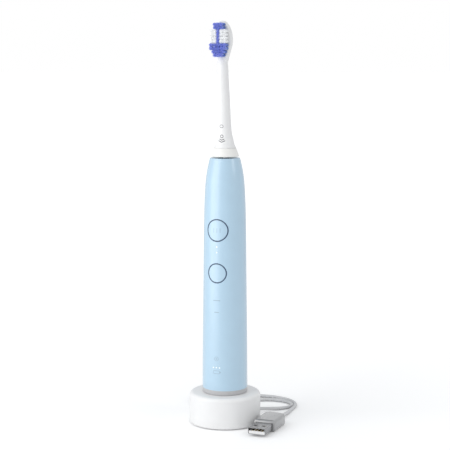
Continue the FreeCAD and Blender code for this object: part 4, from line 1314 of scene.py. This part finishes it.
class TOOTHBRUSH_OT_stage(bpy.types.Operator):
    """Set up the camera, the lights and the pale floor"""

    bl_idname = "toothbrush.stage"
    bl_label = "Stage"

    def execute(self, context):
        studio = context.scene.toothbrush_studio
        make_camera(studio)
        make_floor()
        make_room(studio)
        key_height = 0.29
        key_place, rim_place = around(-38, 0.36, key_height), around(84, 0.7, 0.50)
        soft_light("key_light", key_place, (0, 0, key_height), (0.34, 0.56), studio.key_power)
        soft_light("rim_light", rim_place, OBJECT_MIDDLE, (0.10, 0.30), studio.rim_power)
        context.scene.view_settings.view_transform = "Standard"
        return {"FINISHED"}


class TOOTHBRUSH_PT_panel(bpy.types.Panel):
    """Sizes, colours and steps of the toothbrush"""

    bl_label = "Toothbrush"
    bl_idname = "TOOTHBRUSH_PT_panel"
    bl_space_type = "VIEW_3D"
    bl_region_type = "UI"
    bl_category = "Toothbrush"

    def draw(self, context):
        scene = context.scene
        for group in (scene.toothbrush_colours, scene.toothbrush_bristles, scene.toothbrush_studio):
            box = self.layout.box()
            for name in group.bl_rna.properties.keys():
                if name not in ("rna_type", "name"):
                    box.prop(group, name)
        for step in OPERATORS:
            self.layout.operator(step.bl_idname)


OPERATORS = [
    TOOTHBRUSH_OT_stage,
    TOOTHBRUSH_OT_plug,
    TOOTHBRUSH_OT_lead,
    TOOTHBRUSH_OT_strain_relief,
    TOOTHBRUSH_OT_charger,
    TOOTHBRUSH_OT_handle,
    TOOTHBRUSH_OT_brush_head,
    TOOTHBRUSH_OT_bristles,
    TOOTHBRUSH_OT_inner_works,
]
GROUPS = {
    "toothbrush_colours": ToothbrushColours,
    "toothbrush_bristles": ToothbrushBristles,
    "toothbrush_studio": ToothbrushStudio,
}


def register():
    for kind in [*GROUPS.values(), *OPERATORS, TOOTHBRUSH_PT_panel]:
        bpy.utils.register_class(kind)
    for name, kind in GROUPS.items():
        setattr(bpy.types.Scene, name, PointerProperty(type=kind))


def unregister():
    for name in GROUPS:
        delattr(bpy.types.Scene, name)
    for kind in [TOOTHBRUSH_PT_panel, *OPERATORS, *GROUPS.values()]:
        bpy.utils.unregister_class(kind)


def main():
    register()
    make_groups()
    bpy.ops.toothbrush.stage()
    bpy.ops.toothbrush.plug()
    bpy.ops.toothbrush.lead()
    bpy.ops.toothbrush.strain_relief()
    bpy.ops.toothbrush.charger()
    bpy.ops.toothbrush.handle()
    bpy.ops.toothbrush.brush_head()
    bpy.ops.toothbrush.bristles()
    bpy.ops.toothbrush.inner_works()


if __name__ == "__main__":
    main()
